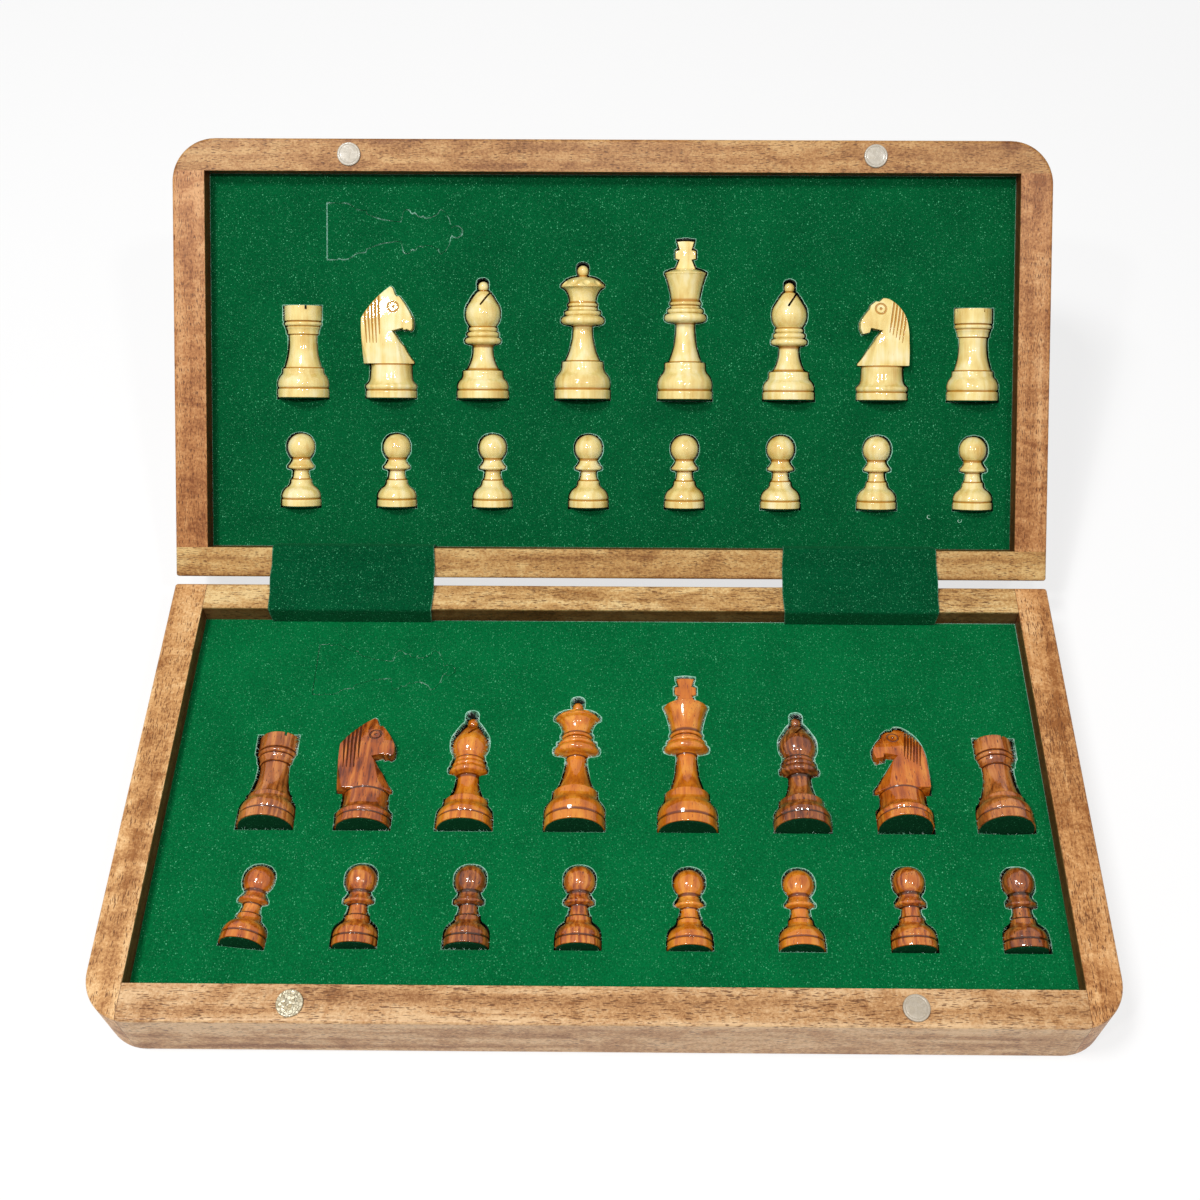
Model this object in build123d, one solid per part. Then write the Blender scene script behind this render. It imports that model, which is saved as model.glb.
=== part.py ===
from build123d import *
import os
from dataclasses import dataclass
from math import atan2, cos, degrees, hypot, radians, sin

# A folding chess case with a piece in every well. The origin is the centre of the lower
# half's underside, +X runs to the right, +Y away from the player to the hinge, +Z up.

# Case halves
case_width = 305.0
half_depth = 152.5
half_height = 25.4
rail_width = 11.2
hinge_rail_width = 10.3
corner_radius = 15.0
edge_round = 1.0

# Pose and gaps of the two halves, which the hinge axis sets
lid_raise = 41.0
closed_gap = 1.8
open_gap = 1.84

# Playing field, on the outside of both halves
squares_across = 8
squares_deep = 4
square_size = 31.75
square_seam = 0.06
square_thickness = 1.5
sheet_thickness = 0.5
sheet_margin = 0.3

# Inside of each half
floor_top = 6.5
felt_recess = 7.3
felt_thickness = 0.8

# Butt hinges
hinge_centres = (-90.0, 87.0)
hinge_length = 35.0
leaf_width = 8.0
leaf_thickness = 0.8
knuckle_radius = 1.7
knuckles = 5
knuckle_gap = 0.2
pin_radius = 0.85
pin_clearance = 0.05
screw_spacing = 12.0
screw_inset = 4.6
screw_head_radius = 1.9
screw_shank_radius = 0.8
screw_length = 8.0
screw_clearance = 0.05
driver_slot = 0.4

# Felt covers over the hinges: centre and width of each
covers = ((-90.0, 56.7), (87.0, 53.5))
cover_thickness = 0.8
cover_gap = 0.1
cover_fold = 1.2
cover_ramp = 5.0

# Closure magnets in the front rails
closure_spacing = 182.0
closure_inset = 5.5
closure_radius = 4.0
closure_thickness = 3.0
closure_gap = 0.1
closure_fit = 0.05

# Die-cut wells
big_foot_line = 51.6
pawn_foot_line = 13.2
well_clearance = 0.45
# From the side walls to the middle of the first and the last well of a row
big_margins = (32.3, 14.0)
pawn_margins = (31.3, 13.3)
# The spare queen: from the side wall to its foot, and its axis as a share of the strip
# between the knight's head and the far wall
spare_inset = 41.7
spare_share = 0.49
spare_kerf = 0.15
rest_gap = 0.1
# How the light pieces lie: their axes' dip in degrees, and how far the pawns are off the floor
light_dip = 0.5
light_pawn_lift = 2.2

# Foot of every chess piece
pad_thickness = 0.5
pad_margin = 0.5
magnet_fit = 0.05
groove_depth = 0.45
groove_height = 0.35
band_swell = 0.7
shoulder_dip = 0.1
step_height = 0.35
ring_roundness = 0.2

# How far a cutter runs past the face that it opens
overcut = 1.0

# What follows is worked out from the sizes above
inner_half_width = case_width / 2 - rail_width
field_half_width = squares_across * square_size / 2
field_depth = squares_deep * square_size
pocket_depth = square_thickness + sheet_thickness
felt_top = half_height - felt_recess
tray_top = felt_top - felt_thickness
hinge_y = half_depth / 2 + open_gap / 2
hinge_z = half_height + closed_gap / 2
hinge_axis = Axis((0, hinge_y, hinge_z), (1, 0, 0))
closure_proud = (closed_gap - closure_gap) / 2


@dataclass(frozen=True)
class Half:
    """One half of the case, drawn with the case open flat. Depth counts from the hinge edge."""

    name: str
    hinge_edge: float
    front: int

    def y(self, depth):
        """Row Y of a place this far from the hinge edge."""
        return self.hinge_edge + self.front * depth

    def block(self, x, depth, z):
        """A box between two places in width, depth and height."""
        y = sorted(self.y(d) for d in depth)
        centre = Pos((x[0] + x[1]) / 2, (y[0] + y[1]) / 2, (z[0] + z[1]) / 2)
        return centre * Box(x[1] - x[0], y[1] - y[0], z[1] - z[0])

    def liner_edge(self):
        """Row Y of the liner's edge on the player's side."""
        return min(self.y(half_depth - rail_width), self.y(hinge_rail_width))

    def settle(self, shape):
        """Raise what belongs to the lid about the hinge axis."""
        return shape.rotate(hinge_axis, lid_raise) if self.name == "lid" else shape


base = Half("base", half_depth / 2, -1)
lid = Half("lid", half_depth / 2 + open_gap, 1)


@dataclass(frozen=True)
class Form:
    """Sizes of one kind of chess piece, upright on the wood of its foot."""

    foot_radius: float
    plinth_height: float
    band_radius: float
    band_height: float
    shoulder_radius: float
    shoulder_height: float
    magnet_radius: float
    magnet_height: float
    # The height and radius of the place on the head that would touch the floor of the well first
    rest_height: float
    rest_radius: float
    stem_foot_radius: float = 0.0
    stem_radius: float = 0.0
    stem_dip: float = 0.0
    # Radius, lower and upper height of each turned ring
    rings: tuple = ()
    # Steps of the head: radius, height and, for a round stretch, how far it swells
    head: tuple = ()
    ball_radius: float = 0.0
    ball_height: float = 0.0


rook = Form(
    foot_radius=9.2,
    plinth_height=2.8,
    band_radius=7.7,
    band_height=8.0,
    shoulder_radius=7.3,
    shoulder_height=10.1,
    magnet_radius=4.0,
    magnet_height=3.0,
    rest_height=32.2,
    rest_radius=6.8,
    stem_foot_radius=6.6,
    stem_radius=5.1,
    stem_dip=0.6,
    rings=((6.1, 22.3, 24.9), (6.65, 25.1, 26.7)),
    head=((6.8, 27.0), (6.8, 32.2), (4.7, 32.2), (4.7, 30.2)),
)
knight = Form(
    foot_radius=9.05,
    plinth_height=2.8,
    band_radius=7.9,
    band_height=7.7,
    shoulder_radius=7.5,
    shoulder_height=12.0,
    magnet_radius=4.0,
    magnet_height=3.0,
    rest_height=28.0,
    rest_radius=6.4,
)
bishop = Form(
    foot_radius=9.2,
    plinth_height=2.45,
    band_radius=7.65,
    band_height=6.7,
    shoulder_radius=7.1,
    shoulder_height=9.6,
    magnet_radius=4.0,
    magnet_height=3.0,
    rest_height=29.5,
    rest_radius=6.25,
    stem_foot_radius=5.6,
    stem_radius=3.6,
    stem_dip=0.6,
    rings=((6.5, 19.1, 21.3), (5.65, 21.7, 23.3), (5.05, 23.8, 24.9)),
    head=((4.7, 25.2), (4.65, 34.0, 1.6), (2.4, 37.4), (1.5, 38.4)),
    ball_radius=1.9,
    ball_height=39.3,
)
queen = Form(
    foot_radius=9.85,
    plinth_height=2.9,
    band_radius=8.5,
    band_height=8.6,
    shoulder_radius=7.25,
    shoulder_height=12.9,
    magnet_radius=4.0,
    magnet_height=3.0,
    rest_height=39.5,
    rest_radius=7.7,
    stem_foot_radius=6.1,
    stem_radius=3.4,
    stem_dip=0.6,
    rings=((7.65, 26.1, 28.9), (6.4, 29.5, 30.8), (5.15, 31.0, 32.3), (5.2, 32.5, 33.5)),
    head=((4.8, 33.8), (6.4, 38.7, -0.5), (7.6, 39.2), (7.6, 40.0), (1.9, 42.9, 0.7), (1.3, 43.5)),
    ball_radius=2.0,
    ball_height=44.9,
)
king = Form(
    foot_radius=9.7,
    plinth_height=2.6,
    band_radius=7.9,
    band_height=8.9,
    shoulder_radius=7.15,
    shoulder_height=12.7,
    magnet_radius=4.0,
    magnet_height=3.0,
    rest_height=44.3,
    rest_radius=7.35,
    stem_foot_radius=5.75,
    stem_radius=3.35,
    stem_dip=0.6,
    rings=((7.45, 27.1, 30.1), (6.35, 30.3, 31.7), (5.15, 31.9, 32.9), (5.5, 33.1, 34.2)),
    head=((5.3, 34.4), (7.35, 44.3, -0.3), (2.8, 45.7, 0.3), (2.4, 46.0)),
)
pawn = Form(
    foot_radius=7.1,
    plinth_height=2.15,
    band_radius=4.95,
    band_height=6.7,
    shoulder_radius=3.8,
    shoulder_height=9.2,
    magnet_radius=3.0,
    magnet_height=2.0,
    rest_height=21.2,
    rest_radius=4.5,
    stem_foot_radius=3.3,
    stem_radius=2.75,
    stem_dip=0.15,
    rings=((4.75, 13.9, 15.6),),
    head=((3.2, 16.4), (2.5, 17.5)),
    ball_radius=4.5,
    ball_height=21.2,
)

# Saw cuts in the rook's crown and the bishop's head
saw_width = 0.8
rook_saw_depth = 1.4
bishop_saw_height = 33.5
bishop_saw_depth = 3.2
bishop_saw_slant = 35.0

# The king's flat cross: half widths of its foot, waist, arms and top, and their heights
cross_thickness = 3.4
cross_outline = ((3.6, 45.8), (2.0, 48.9), (3.55, 49.1), (3.55, 52.1), (2.0, 52.3), (3.0, 55.5))

# The knight's head, seen from its side: place towards the muzzle, height, and swell
knight_thickness = 12.8
knight_crest_thickness = 8.0
knight_taper_height = 28.0
knight_outline = (
    (-8.6, 11.6),
    (-10.1, 27.5, -0.2),
    (-0.1, 38.8, -1.2),
    (1.0, 38.3),
    (2.3, 35.4),
    (3.1, 35.6),
    (7.9, 27.9, -0.4),
    (8.0, 24.6),
    (7.0, 23.5),
    (4.9, 23.7),
    (0.8, 23.4),
    (4.9, 18.3, 0.5),
    (8.3, 12.7, 0.3),
    (8.3, 11.6),
)


@dataclass(frozen=True)
class Seat:
    """A well: which piece it holds, where, and how its foam grips the dark one."""

    name: str
    form: Form
    # Share of its row, from 0 at the left well to 1 at the right one
    share: float
    # Height of the foot off the floor, and dip of the axis towards the head in degrees
    lift: float = 0.0
    dip: float = 0.0
    turn: float = 0.0
    faces: int = 1

    @property
    def x(self):
        """Row X of the middle of the well."""
        left, right = pawn_margins if self.form is pawn else big_margins
        return left - inner_half_width + self.share * (2 * inner_half_width - left - right)

    def foot_line(self):
        """How far the foot end of the well is from the liner's edge."""
        return pawn_foot_line if self.form is pawn else big_foot_line

    def hold(self, half):
        """How the foam holds the half's piece: lift, dip in degrees and turn."""
        if half is base:
            lift, dip, turn = self.lift, self.dip, self.turn
        else:
            lift, dip, turn = light_pawn_lift if self.form is pawn else 0.0, light_dip, 0.0
        # The head dips to the floor at most
        drop = self.form.foot_radius + lift - self.form.rest_radius
        steepest = degrees(atan2(drop, self.form.rest_height - self.form.plinth_height))
        return lift, min(dip, steepest), turn

    def slant(self):
        """How far a rim of unit radius leans over, along the well."""
        return max(abs(sin(radians(self.hold(half)[1]))) for half in (base, lid))

    def foot_centre(self, slant):
        """How far the centre of a foot that leans over this much is from the liner's edge."""
        return self.foot_line() + well_clearance + pad_thickness + self.form.foot_radius * slant


pawn_lifts = (3.6, 1.9, 2.3, 2.3, 1.5, 2.5, 2.5, 2.0)
pawn_dips = (2.0, -4.0, -4.0, -4.0, -1.5, -0.5, -5.5, -6.5)
first_pawn_turn = -6.0
seats = [
    Seat("rook_left", rook, 0.0, dip=4.5),
    Seat("knight_left", knight, 0.132, lift=0.3, dip=2.2),
    Seat("bishop_left", bishop, 0.269, dip=2.7),
    Seat("queen", queen, 0.418, dip=1.5),
    Seat("king", king, 0.571, dip=-0.5),
    Seat("bishop_right", bishop, 0.726, lift=1.6, dip=2.5),
    Seat("knight_right", knight, 0.865, lift=1.2, dip=8.5, faces=-1),
    Seat("rook_right", rook, 1.0, lift=1.3, dip=7.0),
]
for count, (pawn_lift, pawn_dip) in enumerate(zip(pawn_lifts, pawn_dips)):
    pawn_turn = first_pawn_turn if count == 0 else 0.0
    pawn_share = count / (len(pawn_lifts) - 1)
    seats.append(Seat(f"pawn_{count + 1}", pawn, pawn_share, lift=pawn_lift, dip=pawn_dip, turn=pawn_turn))


def path(steps):
    """Edges through the steps; a step's third value swells its stretch to the right."""
    edges = []
    for start, end in zip(steps, steps[1:]):
        if len(end) == 3:
            edges.append(SagittaArc(start[:2], end[:2], -end[2]))
        else:
            edges.append(Line(start[:2], end[:2]))
    return edges


def ring_steps(radius, low, high):
    """The two steps of a half-round ring."""
    swell = ring_roundness * (high - low)
    return [(radius - swell, low), (radius - swell, high, swell)]


def sections(form):
    """The turned outline in sections: foot, stem, rings and head."""
    foot = [
        (form.foot_radius, 0),
        (form.foot_radius, form.plinth_height),
        (form.foot_radius - groove_depth, form.plinth_height + groove_height),
        (form.band_radius, form.band_height, band_swell),
        (form.shoulder_radius, form.shoulder_height, -shoulder_dip),
    ]
    if not form.rings:
        return [foot]
    stem_low = form.shoulder_height + step_height
    stem_high = form.rings[0][1] - step_height
    stem = [(form.stem_foot_radius, stem_low), (form.stem_radius, stem_high, -form.stem_dip)]
    rings = [step for ring in form.rings for step in ring_steps(*ring)]
    return [foot, stem, rings, list(form.head)]


def turned(form):
    """The turned wood, with the pocket for its magnet."""
    steps = [(0, 0)] + [step for section in sections(form) for step in section]
    steps += [(0, steps[-1][1]), (0, 0)]
    body = revolve(Plane.XZ * make_face(path(steps)), Axis.Z)
    if form.ball_radius:
        body += Pos(0, 0, form.ball_height) * Sphere(form.ball_radius)
    pocket = Cylinder(form.magnet_radius + magnet_fit, 2 * form.magnet_height)
    return body - pocket


def rook_body():
    """The rook, with two saw cuts across its crown."""
    cut = Pos(0, 0, rook.rest_height) * Box(2 * rook.foot_radius, saw_width, 2 * rook_saw_depth)
    return turned(rook) - [cut, Rot(0, 0, 90) * cut]


def bishop_body():
    """The bishop, with a slanting saw cut in its head."""
    length = 2 * bishop.rest_radius
    cut = Rot(0, -bishop_saw_slant, 0) * Pos(length / 2, 0, 0) * Box(length, length, saw_width)
    return turned(bishop) - Pos(bishop.rest_radius - bishop_saw_depth, 0, bishop_saw_height) * cut


def king_body():
    """The king, with its flat cross."""
    right = list(cross_outline)
    left = [(-x, z) for x, z in reversed(right)]
    cross = make_face(path(right + left + right[:1]))
    return turned(king) + extrude(Plane.XZ * cross, cross_thickness / 2, both=True)


def knight_body(faces):
    """The knight: a turned foot and a flat head that thins to its crest."""
    side = make_face(path(list(knight_outline) + [knight_outline[0]]))
    head = extrude(Plane.XZ * side, knight_thickness / 2, both=True)
    low = knight_outline[0][1]
    top = max(step[1] for step in knight_outline) + overcut
    half, crest = knight_thickness / 2, knight_crest_thickness / 2
    front = Polyline(
        (-half, low),
        (half, low),
        (half, knight_taper_height),
        (crest, top),
        (-crest, top),
        (-half, knight_taper_height),
        close=True,
    )
    head &= extrude(Plane.YZ * make_face(front), 2 * knight.foot_radius, both=True)
    if faces < 0:
        head = mirror(head, about=Plane.YZ)
    return turned(knight) + head


def wooden_body(seat):
    """The wood of the piece that a seat holds."""
    if seat.form is knight:
        return knight_body(seat.faces)
    special = {"rook": rook_body, "bishop": bishop_body, "king": king_body}
    kind = seat.name.split("_")[0]
    return special[kind]() if kind in special else turned(seat.form)


def chess_piece(seat):
    """Wood, magnet and pad of one piece, upright on the wood of its foot."""
    form = seat.form
    wood = wooden_body(seat)
    magnet = Pos(0, 0, form.magnet_height / 2) * Cylinder(form.magnet_radius, form.magnet_height)
    pad = Pos(0, 0, -pad_thickness / 2) * Cylinder(form.foot_radius - pad_margin, pad_thickness)
    return Compound([*wood.solids(), magnet.solid(), pad.solid()])


def laid(seat, half):
    """A piece on its side in its well, its foot to the player, held by the foam and off the floor."""
    lift, dip, turn = seat.hold(half)
    piece = Rot(0, 0, turn) * Rot(-90 - dip, 0, 0) * chess_piece(seat)
    off_floor = floor_top + rest_gap
    height = max(off_floor + lift + seat.form.foot_radius, off_floor - piece.bounding_box().min.Z)
    centre = seat.foot_centre(abs(sin(radians(dip))))
    return Pos(seat.x, half.liner_edge() + centre, height) * piece


def hull(points):
    """The corners of the convex outline round some points."""
    ordered = sorted(set(points))
    corners = []
    for run in (ordered, ordered[::-1]):
        chain = []
        for point in run:
            while len(chain) > 1:
                (ax, ay), (bx, by) = chain[-2:]
                if (bx - ax) * (point[1] - ay) - (by - ay) * (point[0] - ax) > 0:
                    break
                chain.pop()
            chain.append(point)
        corners += chain[:-1]
    return corners


def silhouette(steps):
    """Places that an outline reaches, with the middle of each round stretch."""
    places = [step[:2] for step in steps]
    for start, end in zip(steps, steps[1:]):
        if len(end) == 3:
            across, up = end[0] - start[0], end[1] - start[1]
            share = end[2] / hypot(across, up)
            middle = ((start[0] + end[0]) / 2, (start[1] + end[1]) / 2)
            places.append((middle[0] + up * share, middle[1] - across * share))
    return places


def opening(places, slant, clearance):
    """The convex outline that clears some places: across, height and radius about the axis."""
    corners = []
    for across, height, radius in places:
        spread = radius * slant + clearance
        for x in (across - clearance, across + clearance):
            corners += [(x, height - spread), (x, height + spread)]
    return make_face(Polyline(*hull(corners), close=True))


def well(seat, clearance):
    """The outline that the die cuts for a piece, from the centre of its foot up +Y."""
    form = seat.form
    slant = seat.slant()
    bands = [silhouette(section) for section in sections(form)]
    bands[0].append((form.foot_radius, -pad_thickness))
    if form is king:
        bands.append(silhouette(cross_outline))
    outline = Sketch()
    for band in bands:
        both_sides = [(side * radius, height, radius) for radius, height in band for side in (-1, 1)]
        outline += opening(both_sides, slant, clearance)
    if form is knight:
        head = [(seat.faces * x, height, form.rest_radius) for x, height in silhouette(knight_outline)]
        outline += opening(head, slant, clearance)
    if form.ball_radius:
        ball = Circle(form.ball_radius * (1 + slant) + clearance)
        outline += Pos(0, form.ball_height) * ball
    return outline


def wells(half):
    """All the wells of a half, as solids through its tray."""
    cutters = []
    for seat in seats:
        place = Pos(seat.x, half.liner_edge() + seat.foot_centre(seat.slant()))
        cutters.append(place * well(seat, well_clearance))
        if seat.turn and half is base:
            cutters.append(place * Rot(0, 0, seat.turn) * well(seat, well_clearance))
    return [extrude(Pos(0, 0, floor_top) * cutter, felt_top) for cutter in cutters]


def spare(half, clearance, low, high):
    """The spare queen's outline as a solid, lying across the case."""
    seat = next(seat for seat in seats if seat.form is queen)
    below = next(seat for seat in seats if seat.form is knight)
    strip_low = below.foot_centre(below.slant()) + max(step[1] for step in knight_outline)
    strip_high = half_depth - rail_width - hinge_rail_width
    across = strip_low + spare_share * (strip_high - strip_low)
    place = Pos(spare_inset - inner_half_width, half.liner_edge() + across, low) * Rot(0, 0, -90)
    return extrude(place * well(seat, clearance), high - low)


def case_block(half):
    """The half as one block: two round front corners and softened edges."""
    body = half.block((-case_width / 2, case_width / 2), (0, half_depth), (0, half_height))
    front, hinge_side = (0, -1) if half is base else (-1, 0)
    body = fillet(body.edges().filter_by(Axis.Z).group_by(Axis.Y)[front], corner_radius)
    body = fillet(body.edges().filter_by(Axis.Z).group_by(Axis.Y)[hinge_side], edge_round)
    faces = body.faces().sort_by(Axis.Z)
    return fillet(faces[0].edges() + faces[-1].edges(), edge_round)


def closure_magnets(half, fit):
    """The two closure magnets of a half, each larger by the fit on its radius."""
    top = half_height + closure_proud
    y = half.y(half_depth - closure_inset)
    disc = Cylinder(closure_radius + fit, closure_thickness)
    z = top - closure_thickness / 2
    return [Pos(side * closure_spacing / 2, y, z) * disc for side in (-1, 1)]


def screw_places(half):
    """Where the screws of a half enter its rail's face."""
    offsets = (-screw_spacing, 0, screw_spacing)
    return [Pos(x + dx, half.y(screw_inset), half_height) for x in hinge_centres for dx in offsets]


def screw(fit):
    """A countersunk screw with its head's face at the origin, pointing down."""
    head = Cone(screw_shank_radius + fit, screw_head_radius + fit, leaf_thickness)
    shank = Cylinder(screw_shank_radius + fit, screw_length)
    return Pos(0, 0, -leaf_thickness / 2) * head + Pos(0, 0, -screw_length / 2) * shank


def screws(half):
    """The screws of a half, each with a driver slot."""
    slot = Box(3 * screw_head_radius, driver_slot, driver_slot)
    return [place * (screw(0) - slot) for place in screw_places(half)]


def field_pocket(half):
    """The cutter for the playing field, let in flush with the outside and open to the hinge."""
    return half.block((-field_half_width, field_half_width), (-overcut, field_depth), (-overcut, pocket_depth))


def rails(half):
    """The four rails of a half, cut out for all that is let into them."""
    half_width = case_width / 2
    depth_inside = half_depth - rail_width
    above = half_height + overcut
    inner_width = (-inner_half_width, inner_half_width)
    inner = half.block(inner_width, (hinge_rail_width, depth_inside), (-overcut, above))
    ring = case_block(half) - [inner, field_pocket(half)] - closure_magnets(half, closure_fit)
    for x in hinge_centres:
        mortise_x = (x - hinge_length / 2, x + hinge_length / 2)
        ring -= half.block(mortise_x, (-overcut, leaf_width), (half_height - leaf_thickness, above))
    ring -= [place * screw(screw_clearance) for place in screw_places(half)]
    # The base's side rails run the full depth, and the lid's front and hinge rails the full width
    across = inner_half_width if half is base else half_width
    side_depth = (0, half_depth) if half is base else (hinge_rail_width, depth_inside)
    height = (0, half_height)
    cuts = {
        "front_rail": half.block((-across, across), (depth_inside, half_depth), height),
        "hinge_rail": half.block((-across, across), (0, hinge_rail_width), height),
        "left_rail": half.block((-half_width, -inner_half_width), side_depth, height),
        "right_rail": half.block((inner_half_width, half_width), side_depth, height),
    }
    return {name: ring & cut for name, cut in cuts.items()}


def floor_panel(half):
    """The panel that closes the tray, with the pocket for the playing field."""
    panel_depth = (hinge_rail_width, half_depth - rail_width)
    panel = half.block((-inner_half_width, inner_half_width), panel_depth, (0, floor_top))
    return panel - field_pocket(half)


def steel_sheet(half):
    """The sheet that the magnets hold to, under the squares."""
    across = (-field_half_width + sheet_margin, field_half_width - sheet_margin)
    depth = (sheet_margin, field_depth - sheet_margin)
    return half.block(across, depth, (square_thickness, pocket_depth))


def squares(half, shade):
    """The light (0) or dark (1) squares of a half, columns from the left, rows from the hinge."""
    first = 1 if half is base else 0
    chosen = []
    for column in range(squares_across):
        for row in range(squares_deep):
            if (column + row + first + shade) % 2:
                continue
            low = -field_half_width + column * square_size
            across = (low + square_seam / 2, low + square_size - square_seam / 2)
            depth = (row * square_size + square_seam / 2, (row + 1) * square_size - square_seam / 2)
            chosen.append(half.block(across, depth, (0, square_thickness)))
    return chosen


def layer(half, low, high):
    """A layer of the tray between two heights, with its wells and the spare queen's plug."""
    depth = (hinge_rail_width, half_depth - rail_width)
    sheet = half.block((-inner_half_width, inner_half_width), depth, (low, high))
    sheet = sheet - wells(half) - spare(half, well_clearance, low - overcut, high + overcut)
    plug = spare(half, well_clearance - spare_kerf, low, high)
    return [*sheet.solids(), *plug.solids()]


def hinge_leaves(half):
    """The leaves of a half: plates let into the rail, with every other knuckle."""
    leaves = []
    pitch = hinge_length / knuckles
    first = 0 if half is base else 1
    reach = open_gap / 2
    low_face = half_height - leaf_thickness
    clear = (-reach - overcut, knuckle_radius + knuckle_gap - reach)
    for x in hinge_centres:
        start = x - hinge_length / 2
        leaf = half.block((start, start + hinge_length), (-reach, leaf_width), (low_face, half_height))
        for count in range(knuckles):
            low = start + count * pitch
            if count % 2 == first:
                barrel = Rot(0, 90, 0) * Cylinder(knuckle_radius, pitch - knuckle_gap)
                leaf += Pos(low + pitch / 2, hinge_y, hinge_z) * barrel
            else:
                across = (low - knuckle_gap / 2, low + pitch + knuckle_gap / 2)
                leaf -= half.block(across, clear, (low_face - overcut, half_height + overcut))
        bore = Rot(0, 90, 0) * Cylinder(pin_radius + pin_clearance, 2 * hinge_length)
        leaf -= Pos(x, hinge_y, hinge_z) * bore
        leaf -= [place * screw(screw_clearance) for place in screw_places(half)]
        leaves += leaf.solids()
    return leaves


def hinge_pins():
    """The pins of the two hinges."""
    pin = Rot(0, 90, 0) * Cylinder(pin_radius, hinge_length)
    return [Pos(x, hinge_y, hinge_z) * pin for x in hinge_centres]


def hinge_covers():
    """Felt strips from one liner to the other, over the rails and the knuckles."""
    stand_off = cover_gap + cover_thickness / 2
    face = half_height + stand_off
    turn = radians(lid_raise)

    def lid_place(y, z):
        along, up = y - hinge_y, z - hinge_z
        return (hinge_y + along * cos(turn) - up * sin(turn), hinge_z + along * sin(turn) + up * cos(turn))

    base_wall = base.y(hinge_rail_width) - stand_off
    lid_wall = lid.y(hinge_rail_width) + stand_off
    foot = felt_top + stand_off
    bisector = radians(90 + lid_raise / 2)
    crest = (knuckle_radius + stand_off) * cover_fold
    ridge = (hinge_y + crest * cos(bisector), hinge_z + crest * sin(bisector))
    line = FilletPolyline(
        (base_wall, foot),
        (base_wall, face),
        (hinge_y - cover_ramp, face),
        ridge,
        lid_place(hinge_y + cover_ramp, face),
        lid_place(lid_wall, face),
        lid_place(lid_wall, foot),
        radius=stand_off + cover_gap,
    )
    strip = Plane.YZ * trace(line, cover_thickness)
    return [Pos(x, 0, 0) * extrude(strip, width / 2, both=True) for x, width in covers]


def write(name, shapes):
    """Write one node from its solids."""
    solids = [solid for shape in shapes for solid in shape.solids()]
    node = solids[0] if len(solids) == 1 else Compound(solids)
    export_step(node, f"parts/{name}.step")


os.makedirs("parts", exist_ok=True)
for half, colour in ((base, "dark"), (lid, "light")):
    nodes = {name: [rail] for name, rail in rails(half).items()}
    nodes["floor_panel"] = [floor_panel(half)]
    nodes["steel_sheet"] = [steel_sheet(half)]
    nodes["light_squares"] = squares(half, 0)
    nodes["dark_squares"] = squares(half, 1)
    nodes["foam_tray"] = layer(half, floor_top, tray_top)
    nodes["felt_liner"] = layer(half, tray_top, felt_top)
    nodes["closure_magnets"] = closure_magnets(half, 0)
    nodes["hinge_leaves"] = hinge_leaves(half)
    nodes["hinge_screws"] = screws(half)
    for node_name, shapes in nodes.items():
        write(f"{half.name}_{node_name}", [half.settle(shape) for shape in shapes])
    for seat in seats:
        write(f"{colour}_{seat.name}", [half.settle(laid(seat, half))])
write("hinge_pins", hinge_pins())
write("hinge_felt_covers", hinge_covers())
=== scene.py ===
"""A folding magnetic chess case with its pieces in their wells, dressed for the camera."""

import logging
import math
import random
from contextlib import contextmanager
from dataclasses import dataclass, field
from enum import Enum
from typing import Callable, Iterator, Sequence

import bmesh
import bpy
from mathutils import Matrix, Vector, noise


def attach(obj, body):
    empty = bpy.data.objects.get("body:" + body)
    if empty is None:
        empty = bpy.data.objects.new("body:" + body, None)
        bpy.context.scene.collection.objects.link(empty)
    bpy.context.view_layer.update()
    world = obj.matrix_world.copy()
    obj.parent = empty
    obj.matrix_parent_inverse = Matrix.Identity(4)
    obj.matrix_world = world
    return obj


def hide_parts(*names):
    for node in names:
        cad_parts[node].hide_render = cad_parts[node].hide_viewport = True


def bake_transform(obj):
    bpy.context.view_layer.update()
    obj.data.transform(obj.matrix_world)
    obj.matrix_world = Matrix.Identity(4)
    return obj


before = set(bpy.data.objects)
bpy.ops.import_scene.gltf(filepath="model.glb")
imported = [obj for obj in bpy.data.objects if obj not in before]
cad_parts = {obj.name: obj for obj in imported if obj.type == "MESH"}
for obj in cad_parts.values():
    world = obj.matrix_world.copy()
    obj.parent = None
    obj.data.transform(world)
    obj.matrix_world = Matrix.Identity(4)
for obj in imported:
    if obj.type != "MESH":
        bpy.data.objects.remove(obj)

log = logging.getLogger("chess_case")
MM = 0.001
Point = tuple[float, float]
Colour = tuple[float, float, float]
Object = bpy.types.Object
Socket = bpy.types.NodeSocket


# Bench tools


def take(piece: Object) -> Object:
    """Make one piece the only selected and active one.

    Args:
        piece: the piece to work on.
    Returns:
        The same piece.
    """
    bpy.ops.object.select_all(action="DESELECT")
    piece.select_set(True)
    bpy.context.view_layer.objects.active = piece
    return piece


def add(operator: Callable, name: str, **settings: object) -> Object:
    """Add a primitive, and put its place into its mesh, so that its object sits at the origin.

    Args:
        operator: the operator that adds it.
        name: the piece's name.
        settings: the operator's settings.
    Returns:
        The new piece.
    """
    bpy.ops.object.select_all(action="DESELECT")
    operator(**settings)
    piece = bpy.context.active_object
    piece.name = piece.data.name = name
    bpy.ops.object.transform_apply(location=True, rotation=True, scale=True)
    return piece


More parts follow.
